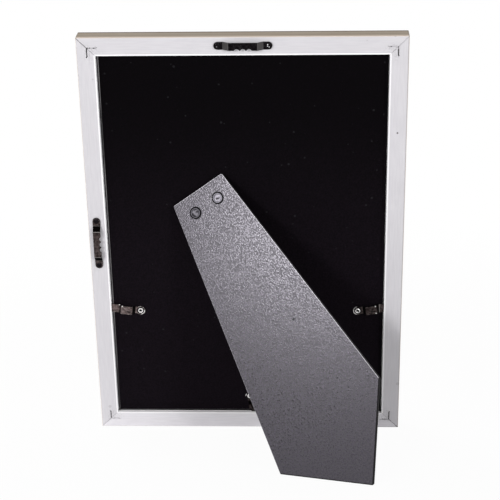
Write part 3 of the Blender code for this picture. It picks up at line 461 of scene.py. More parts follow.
# %% [markdown]
# The backing board is hardboard sprayed black. It drinks light: a dull black with a faint
# bristle of fibres, a little dust and four pin pricks beside the hinge. Its colour is painted
# lighter from near its top down to its lower half, as painted light. Along its left edge a broken
# grey line is a painted highlight, where that edge would catch the light.

# %% Finish of the black backing board
PIN_PRICKS = [(15.8, 223.4), (29.9, 223.3), (15.4, 207.6), (29.6, 207.6)]
BOARD_BACK = 6.7
PRICK = (0.0008, 0.0003)
LIT_LEFT_EDGE, LIT_EDGE_WIDTH = -0.1053, (0.0005, 0.0002)
PAINTED_LIGHT_BELOW = (0.29, 0.13)

board_black, tree, shader = new_finish("black_board")
place = place_on(tree, frame_axes)
axis = split(tree, place)
fibre = noise(tree, place, 900.0, 5.0, 0.65)
colour = mix_colours(
    tree, ramp(tree, fibre, 0.35, 0.65), (0.0010, 0.0007, 0.0011), (0.0032, 0.0022, 0.0033))
# Painted light: the board is painted lighter from near its top down to its lower half.
colour = tinted(tree, colour, ramp(tree, axis[2], *PAINTED_LIGHT_BELOW, 0.8, 2.6))
specks = use_group(tree, dust, Vector=place, Spacing=240.0, Amount=0.04)
colour = mix_colours(tree, times(tree, specks, 0.10), colour, (0.10, 0.10, 0.11))
rubbed = use_group(tree, edge_wear, Vector=place, Reach=0.0008, Raggedness=300.0)
colour = mix_colours(tree, times(tree, rubbed, 0.6), colour, (0.060, 0.058, 0.062))
# Painted highlight: a broken grey line along the board's left edge, where that edge would catch the light.
left_edge_highlight = ramp(tree, apart(tree, axis[0], LIT_LEFT_EDGE), *LIT_EDGE_WIDTH)
highlight_breaks = patches(tree, stretched(tree, place, (60, 60, 25)), 1.0, 3.0, 0.35, 0.65, 0.25, 0.9)
colour = mix_colours(tree, times(tree, left_edge_highlight, highlight_breaks), colour, (0.300, 0.288, 0.297))
pricks = None
for across, up in PIN_PRICKS:
    prick = ramp(tree, distance_to(tree, place, (across, BOARD_BACK, up)), *PRICK)
    pricks = prick if pricks is None else larger(tree, pricks, prick)
colour = mix_colours(tree, times(tree, pricks, 0.6), colour, (0.020, 0.018, 0.021))
matt = bumped(tree, minus(tree, fibre, times(tree, pricks, 2.0)), 0.0001, 0.7)
dull = ramp(tree, fibre, 0.3, 0.7, 0.75, 0.95)
finish_with(tree, shader, Base_Color=colour, Roughness=dull, Normal=matt, Specular_IOR_Level=0.04)
print("backing board black made, with", len(PIN_PRICKS), "pin pricks")

# %% [markdown]
# Leatherette is paper or cloth with a plastic skin, rolled with a pebble pattern. Each pebble
# is a low dome with a crease round it. Cells of a Voronoi pattern give the domes, and the gloss
# of the skin picks them out wherever the big lamp is mirrored. The colour is mottled as well,
# in patches about as large as a pebble, which fade towards the smoother foot.

# %% Grain of the leg's leatherette
GRAIN_PER_METRE = 1200.0
SMALL_GRAIN = 2.1 * GRAIN_PER_METRE
MOTTLE_PER_METRE = 900.0
WANDER = (0.0008, 0.0008, 0.0008)
SMOOTH_FOOT = (-0.225, -0.165)

leatherette, tree, shader = new_finish("grey_leatherette")
place = place_on(tree, leg_axes)
bend = stretched(tree, noise(tree, place, 300.0, 2.0), WANDER)
longer = stretched(tree, on_vectors(tree, "ADD", place, bend), (1.0, 1.0, 0.75))


def domes(per_metre):
    """Round cells, 1 at the middle of each."""
    inputs = {"Vector": longer, "Scale": per_metre}
    cells = add_node(tree, "ShaderNodeTexVoronoi", inputs, feature="SMOOTH_F1")
    return minus(tree, 1.0, cells.outputs["Distance"])


grain = plus(tree, times(tree, domes(GRAIN_PER_METRE), 0.75), times(tree, domes(SMALL_GRAIN), 0.25))
crease = ramp(tree, grain, 0.70, 0.46)
mottle = patches(tree, longer, MOTTLE_PER_METRE, 1.0, 0.36, 0.64)
fade = ramp(tree, split(tree, place)[2], *SMOOTH_FOOT, 0.3, 1.0)
mottle = plus(tree, 0.5, times(tree, minus(tree, mottle, 0.5), fade))
colour = mix_colours(tree, mottle, (0.001, 0.001, 0.001), (0.064, 0.054, 0.076))
colour = mix_colours(tree, crease, colour, (0.003, 0.002, 0.004))
colour = tinted(tree, colour, use_group(tree, drift, Vector=place, Scale=30.0, Amount=0.04))
print("leatherette grained, with", GRAIN_PER_METRE, "pebbles to the metre")

# %% [markdown]
# Where the sheet is cut along the leg's outline, its pale core shows as a thin line on three of
# the five sides. The rivets press a dark dent round themselves, and one large speck of dirt
# lies among the small ones.

# %% Edges and marks of the leatherette
LEG_CORNERS = [(-23.1, 6.58), (23.1, 6.58), (44.68, -185.05), (-1.50, -248.84), (-59.25, -207.03)]
LEG_RIVETS = [(-10.5, -7.42), (10.5, -7.42)]
RIM_SHOWN = {0: 0.8, 1: 1.0, 4: 0.25}
RIM_WIDTH = (0.0007, 0.0004)
RIVET_DENT = (0.00485, 0.00455)
LEG_SPECK, LEG_SPECK_SIZE = (11.9, -115.0), (0.0011, 0.0006)
FORWARD = Vector((0, 1, 0))


def off_edge(number):
    """Distance of a point of the leg from one straight edge of its outline."""
    corners = LEG_CORNERS[number], LEG_CORNERS[(number + 1) % len(LEG_CORNERS)]
    start, end = (Vector((x, 0, z)) * MM for x, z in corners)
    outwards = (end - start).cross(FORWARD).normalized()
    reach = on_vectors(tree, "DOT_PRODUCT", place, outwards, "Value")
    return apart(tree, reach, outwards.dot(start))


for number, shown in RIM_SHOWN.items():
    rim = times(tree, ramp(tree, off_edge(number), *RIM_WIDTH), shown)
    colour = mix_colours(tree, rim, colour, (0.72, 0.70, 0.74))
pressed = ramp(tree, off_axes(tree, place, LEG_RIVETS), *RIVET_DENT)
colour = mix_colours(tree, pressed, colour, (0.006, 0.005, 0.007))
specks = times(tree, use_group(tree, dust, Vector=place, Spacing=140.0, Amount=0.04), 0.5)
large_speck = ramp(tree, off_axes(tree, place, [LEG_SPECK]), *LEG_SPECK_SIZE)
specks = larger(tree, specks, large_speck)
colour = mix_colours(tree, specks, colour, (0.004, 0.004, 0.004))
pebbled = bumped(tree, minus(tree, grain, pressed), 0.00006, 0.9)
polish = plus(tree, ramp(tree, crease, 0.0, 1.0, 0.155, 0.32), times(tree, mottle, 0.045))
satin = larger(tree, polish, larger(tree, pressed, specks))
finish_with(tree, shader, Base_Color=colour, Roughness=satin, Normal=pebbled)
finish_with(tree, shader, Specular_IOR_Level=0.42, Specular_Tint=(0.95, 0.91, 1.0))
print("leatherette made, with a rim on", len(RIM_SHOWN), "sides")

# %% [markdown]
# Under the leatherette the leg is black fibreboard. Only its cut edges and its inner face
# show, slightly furry and a shade lighter where the knife has polished them.

# %% Finish of the leg's board
leg_black, tree, shader = new_finish("leg_core_black")
place = place_on(tree, leg_axes)
layers = noise(tree, stretched(tree, place, (300, 3200, 300)), 1.0, 4.0, 0.6)
colour = mix_colours(
    tree, ramp(tree, layers, 0.35, 0.65), (0.003, 0.0025, 0.003), (0.010, 0.009, 0.010))
specks = use_group(tree, dust, Vector=place, Spacing=260.0, Amount=0.05)
colour = mix_colours(tree, times(tree, specks, 0.3), colour, (0.12, 0.12, 0.12))
finish_with(tree, shader, Base_Color=colour, Roughness=ramp(tree, layers, 0.3, 0.7, 0.65, 0.9))
finish_with(tree, shader, Normal=bumped(tree, layers, 0.00012, 0.6), Specular_IOR_Level=0.2)
print("leg board made")

# %% [markdown]
# The steel comes in a few finishes: gunmetal bronze on the turn clips and the side hanger,
# blackened on the top hanger and the nails, and nickel on the rivets and the hinge. All are the
# same recipe: metal, a little colour drift, scratches that catch the light, plating worn through
# along edges, painted highlights along bends, a colour of its own on slopes, which is painted
# light on blackened steel and painted shade on gunmetal, and painted shade with grime in corners.

# %% Recipe for plated steel
ABOVE_CLIPS = (0.125, 0.135)
BLACK_OXIDE = (0.008, 0.007, 0.008)


def plated(name, dark, light, roughness, slope_light_and_shade, wear_and_highlight, wear,
           bend_highlight=0.0, dent=0.00003, matt_slope=0.0, axes=frame_axes):
    """A plated steel. Its colour drifts from dark to light, takes painted light and shade on slopes and painted
    highlights on bends, and wears to a bright metal.
    """
    material, tree, shader = new_finish(name)
    place = place_on(tree, axes)
    cloud = noise(tree, place, 480.0, 4.0, 0.6)
    colour = mix_colours(tree, ramp(tree, cloud, 0.36, 0.64), dark, light)
    normal = add_node(tree, "ShaderNodeTexCoord").outputs["Normal"]
    front = axes.to_3x3() @ FORWARD
    facing = off_zero(tree, on_vectors(tree, "DOT_PRODUCT", normal, front, "Value"))
    # Slopes take a colour of their own: painted light on blackened steel, painted shade on gunmetal.
    steep = ramp(tree, facing, 0.99, 0.95)
    colour = mix_colours(tree, steep, colour, slope_light_and_shade)
    rubbed = use_group(tree, edge_wear, Vector=place, Reach=0.0005, Raggedness=600.0)
    scored = use_group(tree, scratches, Vector=place, Scale=220.0, Amount=0.4)
    bright = times(tree, larger(tree, rubbed, scored), ramp(tree, steep, 0.0, 0.5, wear, 0.0))
    bright = times(tree, bright, patches(tree, place, 330.0, 2.0, 0.42, 0.58, 0.1, 1.0))
    # Painted highlight: a bright line along the bends of the hangers, in the wear colour.
    on_hanger = ramp(tree, split(tree, place)[2], *ABOVE_CLIPS, 0.0, bend_highlight)
    painted_bend_highlight = times(tree, between(tree, facing, 0.94, 0.985, 0.01), on_hanger)
    colour = mix_colours(tree, larger(tree, bright, painted_bend_highlight), colour, wear_and_highlight)
    # Painted shade and grime in corners, from the corner group.
    dirt = use_group(tree, grime, Vector=place, Reach=0.0012, Amount=0.8)
    colour = mix_colours(tree, dirt, colour, BLACK_OXIDE)
    satin = ramp(tree, cloud, 0.3, 0.7, roughness * 0.85, roughness * 1.2)
    satin = plus(tree, satin, times(tree, minus(tree, steep, painted_bend_highlight), matt_slope))
    skin = bumped(tree, plus(tree, cloud, times(tree, scored, -0.5)), dent, 0.6)
    metal = minus(tree, 1.0, times(tree, steep, matt_slope))
    finish_with(tree, shader, Base_Color=colour, Metallic=metal, Roughness=satin, Normal=skin)
    return material, tree, shader, place, colour


print("steel recipe ready")

# %% [markdown]
# Some steel pieces get marks of their own: grime round an eyelet, painted shade and painted
# highlights on the clips, a hammer's dents and painted glints on a nail, painted shade in an
# eyelet's bore and a rivet's cup, or primer that was brushed over a V-nail.

# %% Marks on the steel pieces
CLIP_RIVETS = [(-84.0, 104.7), (86.2, 104.7), (0.6, 27.2)]
CLIP_GLINTS, GLINT = [(-97.9, 109.5), (-100.3, 110.1), (99.8, 109.8), (100.5, 104.0)], (0.00055, 0.0003)
TAB_CREASE, CREASE_WIDTH = 0.1031, (0.0004, 0.0001)
LEFT_CLIP, BOTTOM_CLIP, SIDE_CLIPS = (-0.06, -0.05), (0.05, 0.06), 0.05
FREE_SIDE, FREE_TOP = 0.0856, 0.0272
RING_HOLLOW, RING_RIM = (0.0018, 0.0030, 0.0002), (0.0030, 0.0038, 0.0002)
LIT_BELOW = (0.1040, 0.1062)
NAIL_GLINTS, NAIL_GLINT_SIZE = [(18.6, 320.9), (19.7, 320.2), (18.7, 322.0)], (0.00045, 0.00025)
FAINT_GLINT, FAINT_GLINT_SIZE = (-18.1, 320.5), (0.0005, 0.0002)
BORE = (0.00115, 0.00100)
CUP_DEPTH, SHADED_CUP = -4.8, (0.006, 0.008)
LEVEL_ARM = (MID_HEIGHT - HALF_WIDTH - 0.0002, MID_HEIGHT - HALF_WIDTH + 0.0002)
CUP_HOLLOW, CUP_SEAT, CUP_SLOPE = (0.0031, 0.0027), (0.0029, 0.0032, 0.0003), (0.0036, 0.0037)


def clip_marks(tree, shader, place, colour):
    """Paints shade on the right and bottom clips, darkens the side hanger, adds grime round eyelets and paints
    highlights on ring ends, corners and a crease.
    """
    axis = split(tree, place)
    off_middle = off_zero(tree, axis[0])
    # Painted shade: the right clip and the bottom clip, which lie in the leg's shade, are painted darker than the
    # left clip. The side hanger is a darker bronze.
    dull = ramp(tree, axis[0], *LEFT_CLIP, 0.75, 0.30)
    dull = times(tree, dull, ramp(tree, axis[2], *ABOVE_CLIPS, 1.0, 0.45))
    dull = times(tree, dull, ramp(tree, axis[2], *BOTTOM_CLIP, 0.5, 1.0))
    colour = tinted(tree, colour, dull)
    ring = off_axes(tree, place, CLIP_RIVETS)
    colour = mix_colours(tree, between(tree, ring, *RING_HOLLOW), colour, BLACK_OXIDE)
    on_side = calc(tree, "GREATER_THAN", off_middle, SIDE_CLIPS)
    on_side = times(tree, on_side, calc(tree, "LESS_THAN", off_middle, FREE_SIDE))
    on_foot = calc(tree, "LESS_THAN", off_middle, SIDE_CLIPS)
    on_foot = times(tree, on_foot, calc(tree, "GREATER_THAN", axis[2], FREE_TOP))
    # Painted highlights: bright, less metallic spots on the free ends of the rings, on corners of the clip bodies
    # and along a tab's crease.
    free_end = times(tree, larger(tree, on_side, on_foot), between(tree, ring, *RING_RIM))
    bare_and_glints = times(tree, free_end, patches(tree, place, 420.0, 2.0, 0.38, 0.46))
    bare_and_glints = times(tree, bare_and_glints, ramp(tree, axis[2], *LIT_BELOW, 1.0, 0.4))
    bare_and_glints = larger(tree, bare_and_glints, ramp(tree, off_axes(tree, place, CLIP_GLINTS), *GLINT))
    crease = ramp(tree, apart(tree, axis[0], TAB_CREASE), *CREASE_WIDTH, 0.0, 0.16)
    bare_and_glints = larger(tree, bare_and_glints, crease)
    colour = mix_colours(tree, bare_and_glints, colour, (0.95, 0.93, 0.92))
    finish_with(tree, shader, Base_Color=colour, Metallic=ramp(tree, bare_and_glints, 0.0, 1.0, 1.0, 0.2))


def nail_glints(tree, shader, place, colour):
    """Paints bright highlights on the right nail of the top hanger, and a faint one on its left nail."""
    # Painted highlights: small bright, less metallic spots on the nail heads.
    glint_mask = ramp(tree, off_axes(tree, place, NAIL_GLINTS), *NAIL_GLINT_SIZE)
    faint = ramp(tree, off_axes(tree, place, [FAINT_GLINT]), *FAINT_GLINT_SIZE, 0.0, 0.3)
    glint_mask = larger(tree, glint_mask, faint)
    colour = mix_colours(tree, glint_mask, colour, (0.85, 0.83, 0.84))
    finish_with(tree, shader, Base_Color=colour, Metallic=ramp(tree, glint_mask, 0.0, 1.0, 1.0, 0.3))


def painted_bore_shade(tree, shader, place, colour):
    """Paints shade into the bore of the eyelets, as near black."""
    bore = ramp(tree, off_axes(tree, place, CLIP_RIVETS), *BORE)
    finish_with(tree, shader, Base_Color=mix_colours(tree, bore, colour, BLACK_OXIDE))


def painted_cup_shade(tree, shader, place, colour):
    """Paints shade into the cups of the leg rivets, on the inner side of the rim and the outer slope, deeper on
    one rivet; the rolled rim stays bright.
    """
    ring = off_axes(tree, place, LEG_RIVETS)
    across, up = LEG_RIVETS[0]
    off_shaded_cup = distance_to(tree, place, (across, CUP_DEPTH, up))
    # Painted shade: one rivet is darker as a whole, and the cup, the rim's inner side and the outer slope are
    # painted dark.
    colour = tinted(tree, colour, ramp(tree, off_shaded_cup, *SHADED_CUP, 0.5, 1.0))
    shade_patches = patches(tree, place, 520.0, 1.0, 0.36, 0.56, 0.9, 0.0)
    hollow = times(tree, ramp(tree, ring, *CUP_HOLLOW), shade_patches)
    dark = larger(tree, hollow, times(tree, between(tree, ring, *CUP_SEAT), 0.6))
    dark = larger(tree, dark, ramp(tree, ring, *CUP_SLOPE))
    colour = mix_colours(tree, dark, colour, (0.012, 0.011, 0.013))
    finish_with(tree, shader, Base_Color=colour, Roughness=0.5)


def primer_marks(tree, shader, place, colour):
    """Lets primer cover parts of the V-nails, most of all on their level arms and in two of the corners."""
    axis = split(tree, place)
    inwards = minus(tree, apart(tree, axis[2], MID_HEIGHT), off_zero(tree, axis[0]))
    level = ramp(tree, inwards, *LEVEL_ARM, 0.0, 0.16)
    diagonal = times(tree, axis[0], minus(tree, axis[2], MID_HEIGHT))
    two_corners = ramp(tree, diagonal, *OPPOSITE_CORNERS, 0.0, 0.07)
    patchy = minus(tree, noise(tree, place, 760.0, 1.0), plus(tree, level, two_corners))
    bare_and_glints = ramp(tree, patchy, 0.34, 0.38, 0.05, 0.95)
    colour = mix_colours(tree, bare_and_glints, (0.68, 0.66, 0.69), colour)
    finish_with(tree, shader, Base_Color=colour, Metallic=bare_and_glints)


print("marks ready for clips, nails, eyelets, leg rivets and V-nails")

# %% [markdown]
# Six finishes follow from the recipe. Blackened steel is nearly black on its flats and painted
# paler on its slopes as painted light, gunmetal is painted darker on its slopes as painted shade,
# hammered nails are the glossiest, and the leg's rivets are a dull grey nickel.

# %% Finishes of the steel parts
bronze, *parts = plated(
    "gunmetal", dark=(0.060, 0.044, 0.043), light=(0.260, 0.200, 0.196), roughness=0.36,
    slope_light_and_shade=(0.010, 0.008, 0.008), wear_and_highlight=(0.90, 0.86, 0.84), wear=0.8, bend_highlight=0.8, matt_slope=0.5)
clip_marks(*parts)
blackened = plated(
    "nail_steel", dark=(0.004, 0.003, 0.004), light=(0.011, 0.009, 0.010), roughness=0.36,
    slope_light_and_shade=(0.075, 0.070, 0.070), wear_and_highlight=(0.50, 0.49, 0.50), wear=0.3, bend_highlight=0.12)[0]
hammered, *parts = plated(
    "nail_black", dark=(0.003, 0.002, 0.003), light=(0.016, 0.013, 0.015), roughness=0.22,
    slope_light_and_shade=(0.010, 0.009, 0.010), wear_and_highlight=(0.70, 0.68, 0.70), wear=0.0, dent=0.00010)
nail_glints(*parts)
v_steel, *parts = plated(
    "v_nail_steel", dark=(0.020, 0.018, 0.019), light=(0.060, 0.056, 0.058), roughness=0.45,
    slope_light_and_shade=BLACK_OXIDE, wear_and_highlight=(0.50, 0.49, 0.50), wear=0.2)
primer_marks(*parts)
nickel, *parts = plated(
    "plated_steel", dark=(0.640, 0.625, 0.620), light=(0.860, 0.845, 0.840), roughness=0.26,
    slope_light_and_shade=(0.800, 0.785, 0.780), wear_and_highlight=(0.95, 0.94, 0.93), wear=0.4)
painted_bore_shade(*parts)
cup_steel, *parts = plated(
    "leg_rivet_steel", dark=(0.150, 0.142, 0.165), light=(0.330, 0.315, 0.355), roughness=0.50,
    slope_light_and_shade=(0.30, 0.29, 0.33), wear_and_highlight=(0.50, 0.48, 0.54), wear=0.3, axes=leg_axes)
painted_cup_shade(*parts)
print("steel finishes:", [m.name for m in (bronze, blackened, hammered, v_steel, nickel, cup_steel)])

# %% [markdown]
# Between the board and the lip lie a grey filler card, the certificate and a clear sheet. The
# paper is blank apart from a plain double border, since a wording belongs to its owner. The
# border is drawn by the distance from the sheet's edge.

# %% Finishes of the filler card, the paper and the clear sheet
SHEET_HALF_WIDTH = 0.105
SHEET_LOW, SHEET_HIGH = 0.0151, 0.3121
BROAD_LINE, FINE_LINES, FINE_WIDTH = (0.0130, 0.0014), (0.0155, 0.0225), 0.0004
INK_EDGE = 0.00008

greyboard, tree, shader = new_finish("grey_card")
place = place_on(tree, frame_axes)
pulp = noise(tree, stretched(tree, place, (500, 500, 1500)), 1.0, 5.0, 0.7)
colour = mix_colours(tree, ramp(tree, pulp, 0.35, 0.65), (0.36, 0.35, 0.33), (0.50, 0.49, 0.46))
finish_with(tree, shader, Base_Color=colour, Roughness=ramp(tree, pulp, 0.3, 0.7, 0.8, 0.95))
finish_with(tree, shader, Normal=bumped(tree, pulp, 0.00006, 0.6))

paper, tree, shader = new_finish("cream_paper")
place = place_on(tree, frame_axes)
axis = split(tree, place)
side_gap = minus(tree, SHEET_HALF_WIDTH, off_zero(tree, axis[0]))
end_gap = smaller(tree, minus(tree, axis[2], SHEET_LOW), minus(tree, SHEET_HIGH, axis[2]))
inset = smaller(tree, side_gap, end_gap)


def ruled(at, width):
    """A printed line that runs round the sheet, at a distance from its edge."""
    return ramp(tree, apart(tree, inset, at), width / 2 + INK_EDGE, width / 2)


felt = noise(tree, place, 420.0, 6.0, 0.7)
cream = mix_colours(tree, ramp(tree, felt, 0.35, 0.65), (0.80, 0.77, 0.69), (0.84, 0.81, 0.73))
fine_lines = larger(tree, *(ruled(at, FINE_WIDTH) for at in FINE_LINES))
lines = larger(tree, ruled(*BROAD_LINE), fine_lines)
printed = mix_colours(tree, lines, cream, (0.30, 0.20, 0.08))
finish_with(tree, shader, Base_Color=printed, Roughness=ramp(tree, felt, 0.3, 0.7, 0.7, 0.85))
finish_with(tree, shader, Normal=bumped(tree, felt, 0.00003, 0.5))

clear, tree, shader = new_finish("clear_sheet")
smear = noise(tree, place_on(tree, frame_axes), 35.0, 4.0, 0.6)
finish_with(tree, shader, Base_Color=(0.97, 0.985, 0.98), Transmission_Weight=1.0, IOR=1.49)
finish_with(tree, shader, Roughness=ramp(tree, smear, 0.4, 0.7, 0.0, 0.05))
see_through = add_node(tree, "ShaderNodeBsdfTransparent", {"Color": opaque((0.93, 0.94, 0.935))})
to_lamps = add_node(tree, "ShaderNodeLightPath").outputs["Is Shadow Ray"]
shaders = {0: to_lamps, 1: shader.outputs[0], 2: see_through.outputs[0]}
both = add_node(tree, "ShaderNodeMixShader", shaders).outputs[0]
tree.links.new(both, tree.nodes["Material Output"].inputs["Surface"])
print("card, paper and clear sheet made")

# %% [markdown]
# The CAD solids have knife-sharp edges, and nothing real does: foil wraps round a corner, and
# stamped steel has a soft rim. A copy of the node with its flat faces joined up and a small
# bevel gives those edges a line of light. The copy stands in for the node and rides on its body.

# %% Round the edges of the flat parts
record = frame["record"]
bodies_of = {node: body for body, nodes in record["behaviour"]["bodies"].items() for node in nodes}
slots_of = {part["node"]: part["material_slot"] for part in record["subparts"]}
materials = {
    "rail_foil": moulding, "nail_steel": blackened, "black_board": board_black, "grey_card": greyboard,
    "cream_paper": paper, "clear_sheet": clear, "gunmetal": bronze, "plated_steel": nickel,
    "leg_core_black": leg_black, "grey_leatherette": leatherette,
}
special_finishes = {
    "v_nail": v_steel, "leg_rivet": cup_steel, "hanger_top_nail": hammered, "hanger_left_nail": hammered,
}
SHARP, FLAT = math.radians(28), math.radians(0.5)
SAME_POINT = 0.000002


def finish_of(node):
    """The material of a node. Some nails and rivets differ from the rest of their slot."""
    for start, material in special_finishes.items():
        if node.startswith(start):
            return material
    return materials[slots_of[node]]


def stand_in(piece, node):
    """A finished piece takes the place of a CAD node, on the same body and in the same slot."""
    piece.data.materials.clear()
    piece.data.materials.append(finish_of(node))
    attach(piece, bodies_of[node])
    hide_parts(node)
    return piece


def new_piece(name, work):
    """Turns a bmesh into an object of the scene, smooth but for its sharp edges."""
    mesh = bpy.data.meshes.new(name)
    work.to_mesh(mesh)
    work.free()
    mesh.shade_smooth()
    mesh.set_sharp_from_angle(angle=SHARP)
    piece = bpy.data.objects.new(name, mesh)
    bpy.context.scene.collection.objects.link(piece)
    return piece


def plain_copy(node):
    """A CAD node's shape with its triangles joined up into flat faces."""
    work = bmesh.new()
    work.from_mesh(frame["nodes"][node].data)
    bmesh.ops.remove_doubles(work, verts=work.verts, dist=SAME_POINT)
    bmesh.ops.dissolve_limit(work, angle_limit=FLAT, verts=work.verts, edges=work.edges)
    return work


def even_shading(piece):
    """Shades a piece so that its flats stay flat."""
    piece.modifiers.new("even shading", "WEIGHTED_NORMAL").keep_sharp = True


def rounded_edges(piece, width, steps=2):
    """Gives a piece a small bevel on its sharp edges."""
    bevel = piece.modifiers.new("rounded edges", "BEVEL")
    bevel.width = width
    bevel.segments = steps
    bevel.limit_method = "ANGLE"
    bevel.angle_limit = SHARP
    bevel.miter_outer = "MITER_ARC"
    even_shading(piece)
    return piece


RAILS = [f"rail_{side}" for side in ("top", "bottom", "left", "right")]
V_NAILS = [f"v_nail_{corner}" for corner in ("top_left", "top_right", "bottom_left", "bottom_right")]
EDGE_ROUNDS = {
    **dict.fromkeys(RAILS, 0.00012),
    "backing_board": 0.0005, "easel_leg": 0.0003, "leg_cover": 0.00018, "glazing": 0.0002,
    "hanger_top": 0.00016, "hanger_left": 0.00016, "hinge_pin": 0.0001,
    "hinge_leaf_board": 0.00012, "hinge_leaf_leg": 0.00012,
    **dict.fromkeys(V_NAILS, 0.00008),
}
for node, width in EDGE_ROUNDS.items():
    stand_in(rounded_edges(new_piece(node + "_soft", plain_copy(node)), width), node)
print("rounded", len(EDGE_ROUNDS), "pieces")

# %% [markdown]
# A turn clip is stamped from strip. Its ring has a soft outer edge, and a short shallow groove
# is pressed into the body to stiffen it. A stretched ball cut out of the copy leaves that
# groove. Each clip has its rivet, its heading in degrees, and how far off the groove is.

# %% Make the turn clips
CLIPS = {
    "turn_clip_left": (CLIP_RIVETS[0], 173.0, 8.9),
    "turn_clip_right": (CLIP_RIVETS[1], 8.5, 12.2),
    "turn_clip_bottom": (CLIP_RIVETS[2], -71.0, 8.3),
}
GROOVE_ASIDE = 0.9
GROOVE_HALF = (1.9, 0.48, 0.65)
CLIP_BODY_FACE = 0.2
CLIP_EDGE, CLIP_EDGE_STEPS = 0.00022, 3


def carve(piece, cutter):
    """Cuts the cutter out of a piece for good."""
    cut = piece.modifiers.new("cut", "BOOLEAN")
    cut.object, cut.operation, cut.solver = cutter, "DIFFERENCE", "EXACT"
    bpy.context.view_layer.update()
    evaluated = piece.evaluated_get(bpy.context.evaluated_depsgraph_get())
    result = bpy.data.meshes.new_from_object(evaluated)
    piece.modifiers.clear()
    piece.data = result
    bpy.data.objects.remove(cutter)
    result.shade_smooth()
    result.set_sharp_from_angle(angle=SHARP)
    even_shading(piece)


for node, (rivet, heading, from_rivet) in CLIPS.items():
    clip = new_piece(node + "_soft", plain_copy(node))
    turn = math.radians(heading)
    along = (math.cos(turn), math.sin(turn))
    across = (along[1], -along[0]) if along[0] > 0 else (-along[1], along[0])
    x = rivet[0] + along[0] * from_rivet + across[0] * GROOVE_ASIDE
    z = rivet[1] + along[1] * from_rivet + across[1] * GROOVE_ASIDE
    ball = bmesh.new()
    bmesh.ops.create_uvsphere(ball, u_segments=28, v_segments=14, radius=MM)
    at = frame_axes @ Matrix.Translation(Vector((x, CLIP_BODY_FACE, z)) * MM)
    at = at @ Matrix.Rotation(-turn, 4, "Y") @ Matrix.Diagonal((*GROOVE_HALF, 1))
    bmesh.ops.transform(ball, matrix=at, verts=ball.verts)
    carve(clip, new_piece("groove_tool", ball))
    stand_in(rounded_edges(clip, CLIP_EDGE, CLIP_EDGE_STEPS), node)
print("turn clips made:", len(CLIPS))

# %% [markdown]
# Rivets, eyelets and nail heads are round, so each is one profile turned about its axis, as on
# a lathe. The leg's rivets are cupped with a rolled rim, the clips turn on open eyelets, and
# the nails have low domed heads. A profile's points are (radius, depth) in millimetres.

# %% Turn the rivets and the nails
ROUND, HAMMERED_SIDES = 40, 9


def arc(centre, half, start, end, steps):
    """Points on a part of an oval, as (radius, depth) in millimetres. Angles in degrees."""
    turns = [math.radians(start + (end - start) * i / steps) for i in range(steps + 1)]
    return [(centre[0] + half[0] * math.cos(t), centre[1] + half[1] * math.sin(t)) for t in turns]


def turned(node, profile, axes, holed=False, sides=ROUND):
    """Turns a profile about the middle of a CAD node, along the depth of the axes. Few sides give facets."""
    inside = axes.inverted()
    points = [inside @ v.co for v in frame["nodes"][node].data.vertices]
    x, z = [(min(p[i] for p in points) + max(p[i] for p in points)) / 2 for i in (0, 2)]
    work = bmesh.new()
    rings = []
    for radius, depth in profile:
        turns = [math.tau * i / sides for i in range(sides)] if radius > 0 else [0]
        reach, y = radius * MM, depth * MM
        places = [Vector((x + reach * math.cos(t), y, z + reach * math.sin(t))) for t in turns]
        rings.append([work.verts.new(axes @ p) for p in places])
    for low, high in zip(rings, rings[1:] + rings[:1] if holed else rings[1:]):
        for i in range(sides):
            next_low, next_high = low[(i + 1) % len(low)], high[(i + 1) % len(high)]
            corners = [low[i % len(low)], next_low, next_high, high[i % len(high)]]
            work.faces.new(dict.fromkeys(corners))
    bmesh.ops.recalc_face_normals(work, faces=work.faces)
    piece = new_piece(node + "_turned", work)
    if sides < ROUND:
        piece.data.shade_flat()
    return stand_in(piece, node)


LEG_RIVET = [
    (0, -4.95), (1.4, -4.92), (2.3, -4.88), (2.8, -4.95), *arc((3.35, -5.0), (0.55, 0.60), 190, 360, 12),
    (3.9, -4.5), (1.9, -4.5), (1.9, -0.5), (2.8, -0.5), (2.9, -0.4), (2.9, -0.1), (2.8, 0), (0, 0),
]
EYELET = [
    *arc((1.55, 2.9), (0.55, 0.5), 180, 360, 12), (1.4, 2.9), (1.4, 6.0), (2.1, 6.0), (2.1, 6.5), (1.0, 6.5),
]
NAIL = [(0, -1.72), (0.7, -1.80), (1.5, -1.62), (2.1, -1.32), (2.05, -1.2), (0.6, -1.2), (0.6, 5.2), (0, 6.8)]
BOARD_RIVET = [
    *arc((0, 2.8), (2.1, 0.4), 270, 360, 8), (2.1, 2.9), (1.2, 2.9), (1.2, 6.0), (2.1, 6.0), (2.1, 6.5),
    (0, 6.5),
]
for node in frame["nodes"]:
    if node.startswith("leg_rivet"):
        turned(node, LEG_RIVET, leg_axes)
    elif node.startswith("clip_rivet"):
        turned(node, EYELET, frame_axes, holed=True)
    elif node.startswith("hinge_board_rivet"):
        turned(node, BOARD_RIVET, frame_axes)
    elif "_nail_" in node and node.startswith("hanger"):
        turned(node, NAIL, frame_axes, sides=HAMMERED_SIDES)

# %% [markdown]
# The certificate and the filler card are flat sheets already. They keep the CAD's own mesh and
# only get their finish.

# %% Finish the plain nodes
plain = [node for node, cad_node in frame["nodes"].items() if not cad_node.hide_render]
for node in plain:
    frame["nodes"][node].data.materials.clear()
    frame["nodes"][node].data.materials.append(finish_of(node))
print("plain nodes:", plain)

# %% [markdown]
# White all round fills the shadows. The floor is white to the camera and to reflections, but
# still takes a soft shadow from the lamps.

